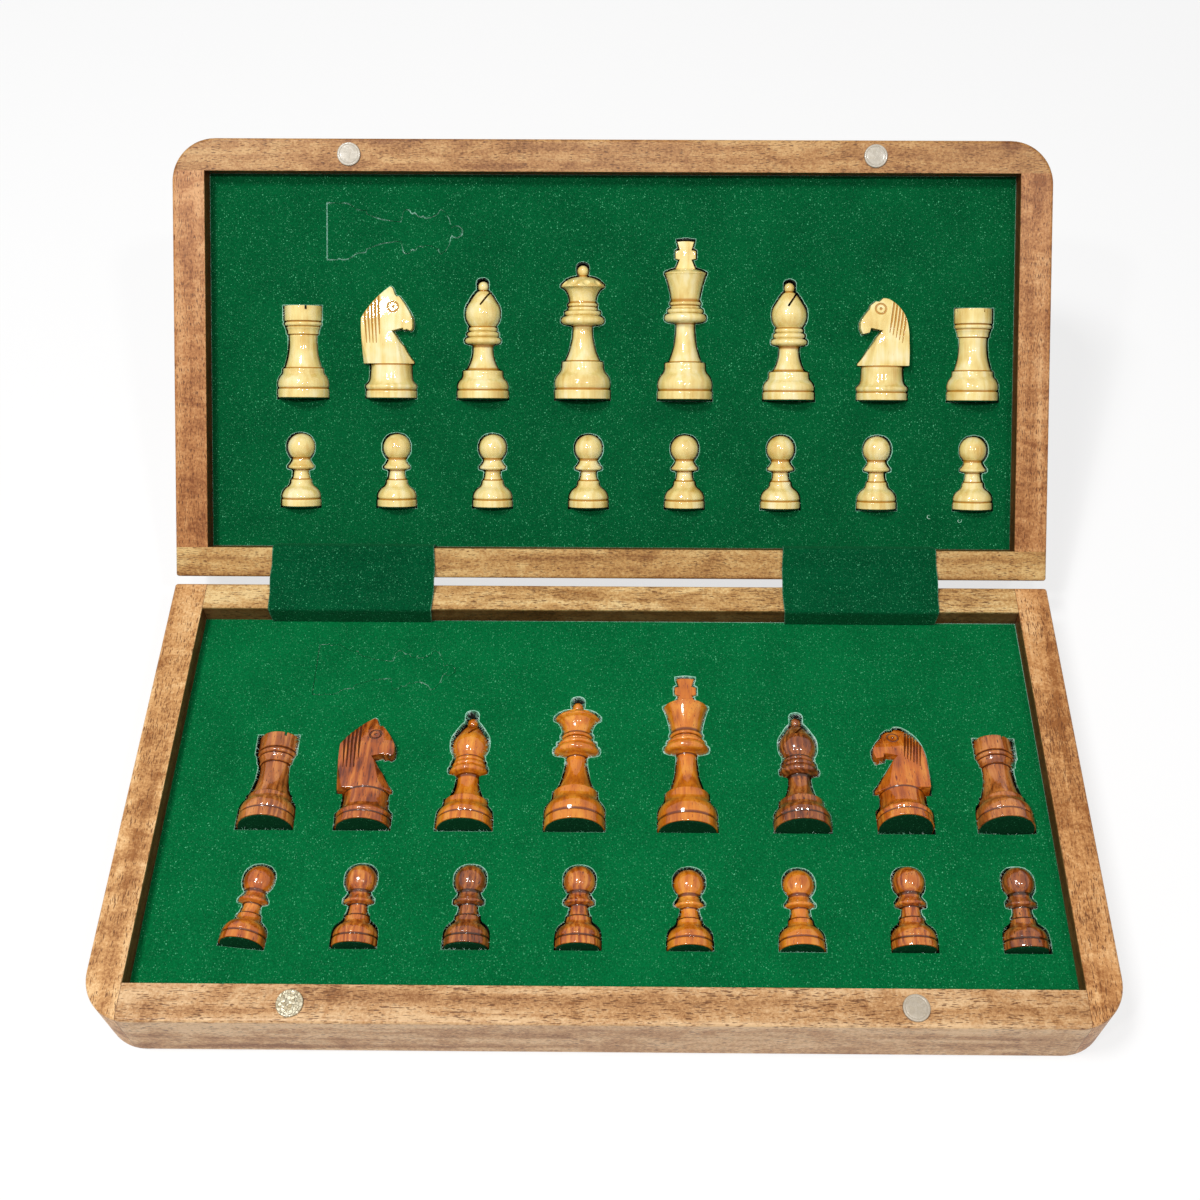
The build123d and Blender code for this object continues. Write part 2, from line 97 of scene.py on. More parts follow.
class Editing:
    """Edit mode on one piece, with its mesh at hand, left when the block ends."""

    def __init__(self, piece: Object) -> None:
        """Keep the piece to edit."""
        self.piece = take(piece)

    def __enter__(self) -> "Editing":
        """Enter edit mode by vertices, with all of them selected."""
        bpy.ops.object.mode_set(mode="EDIT")
        bpy.ops.mesh.select_mode(type="VERT")
        bpy.ops.mesh.select_all(action="SELECT")
        return self

    def __exit__(self, *_: object) -> None:
        """Return to object mode."""
        bpy.ops.object.mode_set(mode="OBJECT")

    def mesh(self) -> bmesh.types.BMesh:
        """The mesh as it is now in edit mode."""
        return bmesh.from_edit_mesh(self.piece.data)

    def pick(self, kind: str, test: Callable[..., bool]) -> int:
        """Select the elements that pass a test, and nothing else.

        Args:
            kind: "edges" or "faces".
            test: says whether an element is taken.
        Returns:
            How many were taken.
        """
        bpy.ops.mesh.select_mode(type={"edges": "EDGE", "faces": "FACE"}[kind])
        bpy.ops.mesh.select_all(action="DESELECT")
        mesh = self.mesh()
        chosen = [element for element in getattr(mesh, kind) if test(element)]
        for element in chosen:
            element.select_set(True)
        mesh.select_flush_mode()
        bmesh.update_edit_mesh(self.piece.data)
        return len(chosen)


def middle(element: bmesh.types.BMEdge | bmesh.types.BMFace) -> Vector:
    """The middle of an edge or a face of a mesh in edit mode."""
    places = [vert.co for vert in element.verts]
    return sum(places, Vector()) / len(places)


def smooth(piece: Object, angle: float = 35.0) -> None:
    """Shade a piece smooth up to an angle in degrees."""
    take(piece)
    bpy.ops.object.shade_smooth_by_angle(angle=math.radians(angle))


def outward(piece: Object) -> None:
    """Merge doubles and turn every face outwards."""
    with Editing(piece):
        bpy.ops.mesh.remove_doubles(threshold=0.002 * MM)
        bpy.ops.mesh.normals_make_consistent(inside=False)


def apply_modifier(piece: Object, kind: str, **settings: object) -> None:
    """Add a modifier, set it and apply it.

    Args:
        piece: the piece.
        kind: Blender's name for the modifier.
        settings: its settings.
    """
    take(piece)
    modifier = piece.modifiers.new(kind.title(), kind)
    for key, value in settings.items():
        setattr(modifier, key, value)
    bpy.ops.object.modifier_apply(modifier=modifier.name)


def carve(piece: Object, tool: Object) -> None:
    """Cut a tool's shape out of a piece and throw the tool away."""
    apply_modifier(piece, "BOOLEAN", object=tool, operation="DIFFERENCE", solver="EXACT")
    take(tool)
    bpy.ops.object.delete()


def joined(parts: Sequence[Object]) -> Object:
    """Join parts into the first one.

    Args:
        parts: the parts.
    Returns:
        The first part, which now holds them all.
    """
    take(parts[0])
    for part in parts[1:]:
        part.select_set(True)
    bpy.ops.object.join()
    return parts[0]


def placed(name: str, data: bpy.types.ID) -> Object:
    """Put a mesh, curve, lamp or camera in the scene as a new object.

    Args:
        name: the object's name.
        data: what it shows.
    Returns:
        The object.
    """
    piece = bpy.data.objects.new(name, data)
    bpy.context.scene.collection.objects.link(piece)
    return piece


def copy_of(source: Object, name: str) -> Object:
    """A free copy of an object with its own mesh.

    Args:
        source: what to copy.
        name: the copy's name.
    Returns:
        The copy, riding on nothing.
    """
    piece = placed(name, source.data.copy())
    piece.data.name = name
    return piece


def store(piece: Object, attribute: str, values: Sequence, domain: str = "POINT") -> None:
    """Store a number or a vector for every vertex or face.

    Args:
        piece: the piece.
        attribute: the attribute's name.
        values: the numbers or vectors, in the mesh's order.
        domain: "POINT" for the vertices, "FACE" for the faces.
    """
    if hasattr(values[0], "__len__"):
        data = piece.data.attributes.new(attribute, "FLOAT_VECTOR", domain).data
        data.foreach_set("vector", [number for entry in values for number in entry])
    else:
        piece.data.attributes.new(attribute, "FLOAT", domain).data.foreach_set("value", values)


def dress(piece: Object, material: bpy.types.Material) -> None:
    """Give a piece one material."""
    piece.data.materials.clear()
    piece.data.materials.append(material)


def cover_node(node: str, material: bpy.types.Material) -> None:
    """Give a fixed node of the frame a better material."""
    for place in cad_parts[node].material_slots:
        place.link = "OBJECT"
        place.material = material


def spin(degrees: float, axis: str) -> Matrix:
    """A turn about an axis through the origin."""
    return Matrix.Rotation(math.radians(degrees), 4, axis)


@contextmanager
def drawn(name: str, start: Vector, moves: Sequence[Vector]) -> Iterator[Object]:
    """Draw a line of edges, in metres, and keep it selected in edit mode while the block lasts.

    Args:
        name: the piece's name.
        start: the line's first place.
        moves: the way from each place to the next.
    Yields:
        The line.
    """
    line = add(bpy.ops.mesh.primitive_plane_add, name, size=MM, location=(0, 0, 0))
    with Editing(line):
        bpy.ops.mesh.merge(type="CENTER")
        bpy.ops.transform.translate(value=start)
        for move in moves:
            bpy.ops.mesh.extrude_vertices_move(TRANSFORM_OT_translate={"value": move})
        bpy.ops.mesh.select_all(action="SELECT")
        yield line


def slab(name: str, outline: Sequence[Vector], thickness: float) -> Object:
    """A flat piece cut from a board, thick along Y.

    Args:
        name: the piece's name.
        outline: its corners in millimetres.
        thickness: the board's thickness.
    Returns:
        The slab, its middle on Y 0.
    """
    start = outline[0] * MM + Vector((0, -thickness / 2 * MM, 0))
    with drawn(name, start, [(here - before) * MM for before, here in zip(outline, outline[1:])]) as board:
        bpy.ops.mesh.edge_face_add()
        bpy.ops.mesh.extrude_region_move(TRANSFORM_OT_translate={"value": (0, thickness * MM, 0)})
    outward(board)
    return board


# The two halves


# Half the width inside the rails, and the lines on which the feet stand, from the liner's lower edge
INNER = 141.3
BACK_ROW, PAWN_ROW = 51.6, 13.2


@dataclass(frozen=True)
class Half:
    """One half of the case, with places given as if it lay open flat."""

    name: str
    shade: str
    hinge_edge: float
    front: int
    lean: float
    liner_edge: float
    hinge_y: float = 77.17
    hinge_z: float = 26.3
    floor_top: float = 6.5
    tray_top: float = 17.3
    felt_top: float = 18.1
    face: float = 25.4
    rest_gap: float = 0.1

    def settle(self) -> Matrix:
        """The turn about the hinge that raises this half, in metres."""
        axis = Vector((0, self.hinge_y, self.hinge_z)) * MM
        return Matrix.Translation(axis) @ spin(self.lean, "X") @ Matrix.Translation(-axis)

    def y(self, depth: float) -> float:
        """Row Y, flat, of a place this far from the hinge edge."""
        return self.hinge_edge + self.front * depth


BASE = Half("base", "dark", 76.25, -1, 0.0, -65.05)
LID = Half("lid", "light", 78.09, 1, 41.0, 88.39)
HALVES = (BASE, LID)


# Finishes


def srgb(red: int, green: int, blue: int) -> Colour:
    """A colour as seen on a screen, from 0 to 255, made linear."""
    shares = (channel / 255 for channel in (red, green, blue))
    return tuple(part / 12.92 if part <= 0.04045 else ((part + 0.055) / 1.055) ** 2.4 for part in shares)


class Nodes:
    """A tree of shader nodes, added one after another."""

    def __init__(self, tree: bpy.types.NodeTree) -> None:
        """Keep the tree."""
        self.tree = tree

    def node(self, kind: str, **settings: object) -> bpy.types.Node:
        """Add a node and set its properties."""
        node = self.tree.nodes.new(kind)
        for key, value in settings.items():
            setattr(node, key, value)
        return node

    def feed(self, socket: Socket, value: object) -> None:
        """Link a socket, or set it where the value isn't a socket."""
        if isinstance(value, bpy.types.NodeSocket):
            self.tree.links.new(value, socket)
        elif isinstance(value, tuple) and len(value) == 3 and len(socket.default_value) == 4:
            socket.default_value = (*value, 1.0)
        else:
            socket.default_value = value

    def wire(self, kind: str, output: str | int, inputs: dict, **settings: object) -> Socket:
        """Add a node, feed its inputs and give one of its outputs.

        Args:
            kind: the kind of node.
            output: the output's name or number.
            inputs: what goes into the inputs, by name or number.
            settings: the node's properties.
        Returns:
            The output's socket.
        """
        node = self.node(kind, **settings)
        for name, value in inputs.items():
            self.feed(node.inputs[name], value)
        return node.outputs[output]

    def sums(self, operation: str, *numbers: object) -> Socket:
        """A Math node."""
        return self.wire("ShaderNodeMath", 0, dict(enumerate(numbers)), operation=operation)

    def times(self, first: object, second: object) -> Socket:
        """The product of two numbers."""
        return self.sums("MULTIPLY", first, second)

    def add_times(self, first: object, second: object, rest: object) -> Socket:
        """The product of two numbers, added to a third."""
        return self.sums("MULTIPLY_ADD", first, second, rest)

    def vectors(self, operation: str, first: object, second: object) -> Socket:
        """A Vector Math node."""
        return self.wire("ShaderNodeVectorMath", 0, {0: first, 1: second}, operation=operation)

    def seen(self) -> Socket:
        """1 where the camera sees something, itself or in gloss or glass, and 0 for other rays."""
        ray = self.node("ShaderNodeLightPath").outputs
        seen = self.sums("MAXIMUM", ray["Is Camera Ray"], ray["Is Glossy Ray"])
        return self.sums("MAXIMUM", seen, ray["Is Transmission Ray"])


class Recipe(Nodes):
    """A material's nodes."""

    def __init__(self, name: str) -> None:
        """Start a material with an empty principled shader."""
        self.material = bpy.data.materials.new(name)
        self.material.use_nodes = True
        super().__init__(self.material.node_tree)
        self.shader = self.tree.nodes["Principled BSDF"]

    def object_space(self, turn: float = 0.0, shift: Sequence[float] = (0, 0, 0)) -> Socket:
        """Object coordinates in millimetres, turned about X and shifted.

        Args:
            turn: the turn about X, in degrees.
            shift: an offset in millimetres.
        Returns:
            The vector socket.
        """
        source = self.node("ShaderNodeTexCoord").outputs["Object"]
        flat = self.mapped(source, (1, 1, 1), (math.radians(turn), 0, 0))
        return self.mapped(flat, [1 / MM] * 3, (0, 0, 0), shift)

    def mapped(
        self, vector: Socket, scale: Sequence[float], turn: Sequence[float] = (0, 0, 0),
        shift: Sequence[float] = (0, 0, 0),
    ) -> Socket:
        """A vector moved, turned and scaled by a Mapping node."""
        inputs = {"Vector": vector, "Scale": scale, "Rotation": turn, "Location": shift}
        return self.wire("ShaderNodeMapping", "Vector", inputs)

    def parts(self, vector: Socket) -> list[Socket]:
        """The three parts of a vector."""
        node = self.node("ShaderNodeSeparateXYZ")
        self.feed(node.inputs[0], vector)
        return list(node.outputs)

    def attribute(self, name: str, output: str = "Vector") -> Socket:
        """One of the piece's own attributes."""
        return self.node("ShaderNodeAttribute", attribute_name=name).outputs[output]

    def noise(
        self, vector: Socket, scale: float, detail: float = 2.0, rough: float = 0.5, warp: float = 0.0,
        output: str = "Fac",
    ) -> Socket:
        """A noise pattern from 0 to 1."""
        inputs = {"Vector": vector, "Scale": scale, "Detail": detail, "Roughness": rough, "Distortion": warp}
        return self.wire("ShaderNodeTexNoise", output, inputs)

    def cells(self, vector: Socket, scale: float, feature: str = "F1", output: str = "Distance") -> Socket:
        """A pattern of cells."""
        return self.wire("ShaderNodeTexVoronoi", output, {"Vector": vector, "Scale": scale}, feature=feature)

    def cell_dice(self, vector: Socket, scale: float) -> Socket:
        """A number from 0 to 1 for each cell of the same pattern."""
        return self.wire("ShaderNodeSeparateColor", 0, {0: self.cells(vector, scale, output="Color")})

    def fade(self, value: Socket, low: float, high: float, start: float = 0.0, end: float = 1.0) -> Socket:
        """A smooth step from one number to another as a value rises."""
        inputs = {"Value": value, "From Min": low, "From Max": high, "To Min": start, "To Max": end}
        return self.wire("ShaderNodeMapRange", "Result", inputs, interpolation_type="SMOOTHSTEP")

    def mix(self, share: object, first: object, second: object, blend: str = "MIX") -> Socket:
        """A mix of two colours."""
        node = self.node("ShaderNodeMix", data_type="RGBA", blend_type=blend)
        self.feed(node.inputs["Factor"], share)
        colours = [socket for socket in node.inputs if socket.type == "RGBA"]
        self.feed(colours[0], first)
        self.feed(colours[1], second)
        return [socket for socket in node.outputs if socket.type == "RGBA"][0]

    def ramp(self, value: Socket, stops: Sequence[tuple[float, Colour]]) -> Socket:
        """A colour ramp through some stops."""
        node = self.node("ShaderNodeValToRGB")
        elements = node.color_ramp.elements
        while len(elements) < len(stops):
            elements.new(1.0)
        for element, (place, colour) in zip(elements, stops):
            element.position = place
            element.color = (*colour, 1.0)
        self.feed(node.inputs["Fac"], value)
        return node.outputs["Color"]

    def bump(self, height: Socket, strength: float, depth: float) -> Socket:
        """A bump of some depth in millimetres."""
        inputs = {"Height": height, "Strength": strength, "Distance": depth * MM}
        return self.wire("ShaderNodeBump", "Normal", inputs)

    def done(self, **sockets: object) -> bpy.types.Material:
        """Feed the shader's sockets by name and return the material."""
        for name, value in sockets.items():
            self.feed(self.shader.inputs[name.replace("_", " ").title().replace("Ior", "IOR")], value)
        return self.material


class Finish:
    """What one surface is made of."""

    def material(self, name: str) -> bpy.types.Material:
        """Build the finish as a material of this name."""
        recipe = Recipe(name)
        return recipe.done(**self.sockets(recipe))

    def sockets(self, recipe: Recipe) -> dict[str, object]:
        """What goes into the shader's sockets, by name.

        Args:
            recipe: the material in the making.
        Returns:
            A value or a socket for each, under its name in small letters.
        """
        raise NotImplementedError


@dataclass(frozen=True)
class CaseWood(Finish):
    """Open-pored honey-brown hardwood, satin, with its grain along X or Y."""

    along_x: bool
    lean: float = 0.0
    shift: float = 0.0
    warmth: float = 0.5
    seam: float = 0.0
    half: Half | None = None
    # Each rail's tint: partly its own tone, partly painted light, lighter on the base's rails and darker on
    # the lid's
    tint: Colour = (1.0, 1.0, 1.0)
    dark: Colour = srgb(136, 84, 40)
    mid: Colour = srgb(184, 132, 80)
    pale: Colour = srgb(214, 170, 118)
    pore: Colour = srgb(88, 46, 18)
    # Colour of the painted shade on the rails' inner faces
    wear_and_wall_shade: Colour = srgb(118, 84, 56)
    # Pattern steps per millimetre along the grain and across it
    grain: Point = (0.008, 0.16)
    pore_grain: Point = (0.5, 3.6)

    def stretch(self, grain: Point) -> tuple[float, float, float]:
        """The pattern's scale along X, Y and Z."""
        along, across = grain
        return (along, across, across) if self.along_x else (across, along, across)

    def sockets(self, recipe: Recipe) -> dict[str, object]:
        """Streaks and curls of the grain, open pores, the rail's tint, which is partly painted light, and
        painted shade on its inner faces.
        """
        stretch = self.stretch(self.grain)
        place = recipe.object_space(-self.lean, (self.shift, 0.37 * self.shift, 0))
        streaks = recipe.noise(recipe.mapped(place, stretch), 1.0, 4.0, 0.55, 0.5)
        slanted = recipe.mapped(place, (0.05, 0.09, 0.09), (0, 0, 0.5 if self.along_x else 1.1))
        curl = recipe.noise(slanted, 1.0, 4.0, 0.62, 1.6)
        speckle = recipe.noise(place, 1.1, 3.0, 0.7)
        tone = recipe.add_times(streaks, 0.42, recipe.times(curl, 0.36))
        tone = recipe.add_times(speckle, 0.3, recipe.sums("ADD", tone, self.warmth * 0.16 - 0.12))
        colour = recipe.ramp(tone, [(0.4, self.dark), (0.5, self.mid), (0.6, self.pale)])
        fine = recipe.noise(recipe.mapped(place, [7 * step for step in stretch]), 1.0, 4.0, 0.7)
        colour = recipe.mix(recipe.fade(fine, 0.48, 0.72, 0.0, 0.25), colour, self.dark, "MULTIPLY")
        # Open pores: short dark dashes along the grain, dots on the end grain
        pores = recipe.noise(recipe.mapped(place, self.stretch(self.pore_grain)), 1.0, 1.0, 0.4)
        edge = recipe.add_times(recipe.noise(place, 0.07, 2.0), -0.22, 0.71)
        hole = recipe.fade(recipe.sums("SUBTRACT", pores, edge), 0.0, 0.06)
        colour = recipe.mix(recipe.times(hole, 0.82), colour, self.pore)
        # The rail's tint: partly its own tone, partly painted light
        colour = recipe.mix(1.0, colour, self.tint, "MULTIPLY")
        if self.seam:
            colour = recipe.mix(self.butt_joint(recipe), colour, self.pore)
        # Painted shade: the rails' inner faces darkened below the top face
        if self.half is not None:
            colour = recipe.mix(self.painted_wall_shade(recipe), colour, self.wear_and_wall_shade, "MULTIPLY")
        height = recipe.add_times(hole, -1.0, recipe.times(fine, 0.25))
        return {
            "base_color": colour, "roughness": recipe.fade(tone, 0.3, 0.7, 0.5, 0.4),
            "normal": recipe.bump(height, 0.5, 0.12), "specular_ior_level": 0.2, "coat_weight": 0.08,
            "coat_roughness": 0.28,
        }

    def painted_wall_shade(self, recipe: Recipe) -> Socket:
        """The rails' inner faces, darkened with painted shade.

        Args:
            recipe: the material in the making.
        Returns:
            The share of the painted shade.
        """
        half = self.half
        liner_half_depth = 65.5
        axis = Vector((0, half.hinge_y, half.hinge_z))
        shift = axis - spin(-half.lean, "X") @ axis
        x, y, z = recipe.parts(recipe.object_space(-half.lean, tuple(shift)))
        beside = recipe.sums("SUBTRACT", recipe.sums("ABSOLUTE", x), INNER)
        depth = recipe.sums("ABSOLUTE", recipe.sums("SUBTRACT", y, half.liner_edge + liner_half_depth))
        outside = recipe.sums("MAXIMUM", beside, recipe.sums("SUBTRACT", depth, liner_half_depth))
        near = recipe.fade(outside, 0.15, 0.4, 0.9, 0.0)
        return recipe.times(near, recipe.fade(z, half.face - 1.0, half.face - 0.3, 1.0, 0.0))

    def butt_joint(self, recipe: Recipe) -> Socket:
        """The dark line where the end of the rail meets its neighbour.

        Args:
            recipe: the material in the making.
        Returns:
            The share of the line's colour.
        """
        reach = recipe.sums("ABSOLUTE", recipe.parts(recipe.node("ShaderNodeTexCoord").outputs["Object"])[0])
        gap = recipe.sums("ABSOLUTE", recipe.sums("SUBTRACT", reach, self.seam * MM))
        return recipe.fade(gap, 0.05 * MM, 0.28 * MM, 0.85, 0.0)


@dataclass(frozen=True)
class Veneer(Finish):
    """Thin squares let into the playing field, each cut from another place of the sheet."""

    dark: Colour
    pale: Colour
    lean: float
    square: float = 31.75
    sheet: float = 900.0

    def sockets(self, recipe: Recipe) -> dict[str, object]:
        """Fine straight grain, moved and toned anew in each square."""
        place = recipe.object_space(-self.lean)
        dice = recipe.node("ShaderNodeTexWhiteNoise", noise_dimensions="3D")
        recipe.feed(dice.inputs["Vector"], recipe.vectors("SNAP", place, (self.square,) * 3))
        way = {0: dice.outputs["Color"], "Scale": self.sheet}
        offset = recipe.wire("ShaderNodeVectorMath", 0, way, operation="SCALE")
        moved = recipe.vectors("ADD", place, offset)
        grain = recipe.noise(recipe.mapped(moved, (0.22, 0.012, 0.22)), 1.0, 5.0, 0.6, 0.5)
        tone = recipe.add_times(dice.outputs["Value"], 0.16, recipe.sums("SUBTRACT", grain, 0.08))
        colour = recipe.ramp(tone, [(0.34, self.dark), (0.66, self.pale)])
        hole = recipe.fade(recipe.noise(recipe.mapped(moved, (3.0, 0.35, 3.0)), 1.0, 1.0), 0.66, 0.72)
        return {
            "base_color": recipe.mix(recipe.times(hole, 0.45), colour, self.dark, "MULTIPLY"),
            "normal": recipe.bump(recipe.times(hole, -1.0), 0.3, 0.08), "roughness": 0.38,
            "coat_weight": 0.25, "coat_roughness": 0.2,
        }


@dataclass(frozen=True)
class Timber(Finish):
    """Turned and lacquered wood of a chess piece, on the piece's own grain attribute."""

    dark: Colour
    mid: Colour
    pale: Colour
    # Colour of the hollows: partly lacquer gathered there, partly painted shade
    groove: Colour
    ring_pitch: float
    contrast: float
    pore_limit: float
    pores: float

    def sockets(self, recipe: Recipe) -> dict[str, object]:
        """Growth rings round the log's middle, pores, and a darker colour in grooves and carving: partly
        lacquer gathered there, partly painted shade.
        """
        grain = recipe.attribute("grain")
        wobble = recipe.noise(recipe.mapped(grain, (0.16, 0.16, 0.035)), 1.0, 3.0, 0.55)
        wide, deep = (recipe.sums("POWER", part, 2.0) for part in recipe.parts(grain)[:2])
        rings = recipe.add_times(wobble, 9.0, recipe.sums("SQRT", recipe.sums("ADD", wide, deep)))
        band = recipe.sums("SINE", recipe.times(rings, 2 * math.pi / self.ring_pitch))
        fine = recipe.noise(recipe.mapped(grain, (1.1, 1.1, 0.06)), 1.0, 4.0, 0.65)
        cloud = recipe.noise(grain, 0.12, 2.0)
        tone = recipe.add_times(band, 0.16 * self.contrast, 0.5)
        tone = recipe.add_times(recipe.sums("SUBTRACT", fine, 0.5), 0.9 * self.contrast, tone)
        tone = recipe.add_times(recipe.sums("SUBTRACT", cloud, 0.5), 0.7, tone)
        colour = recipe.ramp(tone, [(0.22, self.dark), (0.5, self.mid), (0.78, self.pale)])
        dashes = recipe.noise(recipe.mapped(grain, (3.4, 3.4, 0.42)), 1.0, 1.0)
        hole = recipe.fade(dashes, self.pore_limit, self.pore_limit + 0.05, 0.0, self.pores)
        colour = recipe.mix(hole, colour, self.dark, "MULTIPLY")
        # Groove colour in the turned hollows and the knight's carving: partly lacquer, partly painted shade
        lacquer_and_shade = recipe.fade(recipe.attribute("groove", "Fac"), 0.12, 0.6, 0.0, 0.92)
        lacquer_and_shade = recipe.sums("MAXIMUM", lacquer_and_shade, recipe.times(recipe.attribute("carved", "Fac"), 0.8))
        height = recipe.add_times(hole, -1.0, recipe.times(fine, 0.3))
        return {
            "base_color": recipe.mix(lacquer_and_shade, colour, self.groove), "normal": recipe.bump(height, 0.25, 0.06),
            "coat_normal": recipe.bump(recipe.noise(grain, 0.9, 2.0), 0.16, 0.22), "coat_weight": 1.0,
            "coat_roughness": 0.05, "roughness": recipe.fade(fine, 0.3, 0.7, 0.32, 0.42),
            "specular_ior_level": 0.12,
        }


@dataclass(frozen=True)
class Felt(Finish):
    """Flocked green felt, with short bright fibres and pale ones where it is cut."""

    body: Colour
    low: Colour
    fibre: Colour = srgb(96, 196, 144)
    cut: Colour = srgb(166, 222, 200)
    specks: float = 0.85
    has_cut: bool = False

    def sockets(self, recipe: Recipe) -> dict[str, object]:
        """Nap, bright strands of two sizes, and the frayed cut."""
        place = recipe.object_space()
        cloud = recipe.noise(place, 0.05, 3.0, 0.55)
        nap = recipe.noise(place, 1.7, 4.0, 0.75)
        tone = recipe.add_times(cloud, 0.22, recipe.times(nap, 0.78))
        colour = recipe.ramp(tone, [(0.4, self.low), (0.58, self.body)])
        coarse, fine = self.strands(recipe, place, 1.4, 0.42), self.strands(recipe, place, 2.6, 0.5)
        bright = recipe.sums("MAXIMUM", coarse, fine)
        patches = recipe.noise(place, 0.3, 2.0)
        bright = recipe.times(bright, recipe.fade(patches, 0.3, 0.6, 0.4 * self.specks, self.specks))
        colour = recipe.mix(bright, colour, self.fibre)
        if self.has_cut:
            ragged = recipe.times(recipe.attribute("cut", "Fac"), recipe.noise(place, 1.6, 3.0, 0.8))
            colour = recipe.mix(recipe.fade(ragged, 0.14, 0.42, 0.0, 0.9), colour, self.cut)
        height = recipe.sums("ADD", nap, recipe.times(bright, 0.6))
        return {
            "base_color": colour, "roughness": 0.97, "normal": recipe.bump(height, 0.6, 0.25),
            "sheen_weight": 0.12, "sheen_roughness": 0.5, "sheen_tint": srgb(40, 170, 100),
            "specular_ior_level": 0.05,
        }

    def strands(self, recipe: Recipe, place: Socket, scale: float, limit: float) -> Socket:
        """Short bright fibres, one in some of the cells of a warped pattern.

        Args:
            recipe: the material in the making.
            place: the place in millimetres.
            scale: cells per millimetre.
            limit: how rare the fibres are, from 0 to 1.
        Returns:
            The fibres' share.
        """
        warped = recipe.vectors("ADD", place, recipe.noise(place, 0.9 * scale, output="Color"))
        dot = recipe.fade(recipe.cells(warped, scale), 0.1, 0.3, 1.0, 0.0)
        return recipe.times(dot, recipe.fade(recipe.cell_dice(warped, scale), limit, limit + 0.35))


@dataclass(frozen=True)
class Fibre(Finish):
    """Loose pale fibres along the felt's cuts, and lint."""

    green: Colour = srgb(40, 150, 96)
    pale: Colour = srgb(150, 214, 184)
    white: Colour = srgb(232, 246, 240)

    def sockets(self, recipe: Recipe) -> dict[str, object]:
        """Tufts from green to white."""
        tone = recipe.noise(recipe.object_space(), 0.5, 2.0)
        stops = [(0.35, self.green), (0.5, self.pale), (0.66, self.white)]
        return {"base_color": recipe.ramp(tone, stops), "roughness": 0.8}


@dataclass(frozen=True)
class Foam(Finish):
    """Black closed-cell foam of the trays."""

    body: Colour = srgb(16, 22, 19)
    cell: Colour = srgb(34, 44, 40)

    def sockets(self, recipe: Recipe) -> dict[str, object]:
        """Small cells with paler walls."""
        cells = recipe.cells(recipe.object_space(), 1.6)
        colour = recipe.mix(recipe.fade(cells, 0.1, 0.5), self.cell, self.body)
        return {"base_color": colour, "roughness": 0.9, "normal": recipe.bump(cells, 0.6, 0.2)}


@dataclass(frozen=True)
class Metal(Finish):
    """Plated or plain sheet metal, finely scratched."""

    colour: Colour
    worn: Colour
    rough: float
    lean: float = 0.0

    def sockets(self, recipe: Recipe) -> dict[str, object]:
        """Brushed lines and worn patches."""
        place = recipe.object_space(-self.lean)
        brush = recipe.noise(recipe.mapped(place, (0.15, 6.0, 6.0)), 1.0, 3.0, 0.6)
        wear_and_wall_shade = recipe.noise(place, 0.25, 3.0, 0.6)
        return {
            "base_color": recipe.mix(recipe.fade(wear_and_wall_shade, 0.45, 0.7), self.colour, self.worn), "metallic": 1.0,
            "roughness": recipe.fade(brush, 0.3, 0.7, self.rough - 0.08, self.rough + 0.12),
            "normal": recipe.bump(brush, 0.2, 0.03),
        }


@dataclass(frozen=True)
class GluedMagnet(Finish):
    """A closure magnet under its skin of clear glue."""

    colour: Colour
    flake: Colour
    crackle: float
    frost: float
    old_glue: Colour = srgb(150, 128, 84)
    crack: Colour = srgb(96, 84, 58)
    flakes: float = 1.1

    def sockets(self, recipe: Recipe) -> dict[str, object]:
        """Flakes of glue between dark cracks, with a mist over them."""
        place = recipe.object_space()
        lines = recipe.cells(place, self.flakes, "DISTANCE_TO_EDGE")
        stops = [(0.0, self.old_glue), (0.45, self.colour), (1.0, self.flake)]
        glue = recipe.ramp(recipe.cell_dice(place, self.flakes), stops)
        colour = recipe.mix(self.crackle, self.colour, glue)
        mist = recipe.noise(place, 0.8, 3.0)
        height = recipe.add_times(recipe.fade(lines, 0.0, 0.1), self.crackle, mist)
        return {
            "base_color": recipe.mix(recipe.fade(lines, 0.0, 0.12, self.crackle, 0.0), colour, self.crack),
            "metallic": 0.15, "roughness": recipe.fade(mist, 0.35, 0.65, self.frost, self.frost + 0.2),
            "normal": recipe.bump(height, 0.4, 0.25), "coat_weight": 0.35, "coat_roughness": 0.15,
        }


# Chess pieces


class Man(Enum):
    """The kinds of chess piece."""

    ROOK = "rook"
    KNIGHT = "knight"
    BISHOP = "bishop"
    QUEEN = "queen"
    KING = "king"
    PAWN = "pawn"


def arc(start: Point, end: Point, swell: float, steps: int) -> list[Point]:
    """Places along a round stretch, without its start.

    Args:
        start: the first place.
        end: the last place.
        swell: how far the stretch bulges to the right of its direction.
        steps: how many places to give.
    Returns:
        The places, the end included.
    """
    if not swell:
        return [end]
    a, b = Vector(start), Vector(end)
    chord = b - a
    right = Vector((chord.y, -chord.x)).normalized()
    radius = (chord.length_squared / 4 + swell * swell) / (2 * abs(swell))
    centre = (a + b) / 2 + right * (swell - math.copysign(radius, swell))
    first = a - centre
    sweep = first.angle_signed(b - centre)
    places = []
    for step in range(1, steps + 1):
        turn = -sweep * step / steps
        cos, sin = math.cos(turn), math.sin(turn)
        places.append((centre.x + first.x * cos - first.y * sin, centre.y + first.x * sin + first.y * cos))
    return places


def stretches(start: Point, steps: Sequence[tuple], count: int = 7, short: float = 0.0) -> list[Point]:
    """Places along steps that have a swell where they are round.

    Args:
        start: the first place.
        steps: the steps.
        count: how many places a round step gets.
        short: the length up to which it gets three.
    Returns:
        The places, the start included.
    """
    places = [start]
    for step in steps:
        swell = step[2] if len(step) == 3 else 0.0
        pieces = count if math.dist(places[-1], step[:2]) > short else 3
        places += arc(places[-1], step[:2], swell, pieces)
    return places


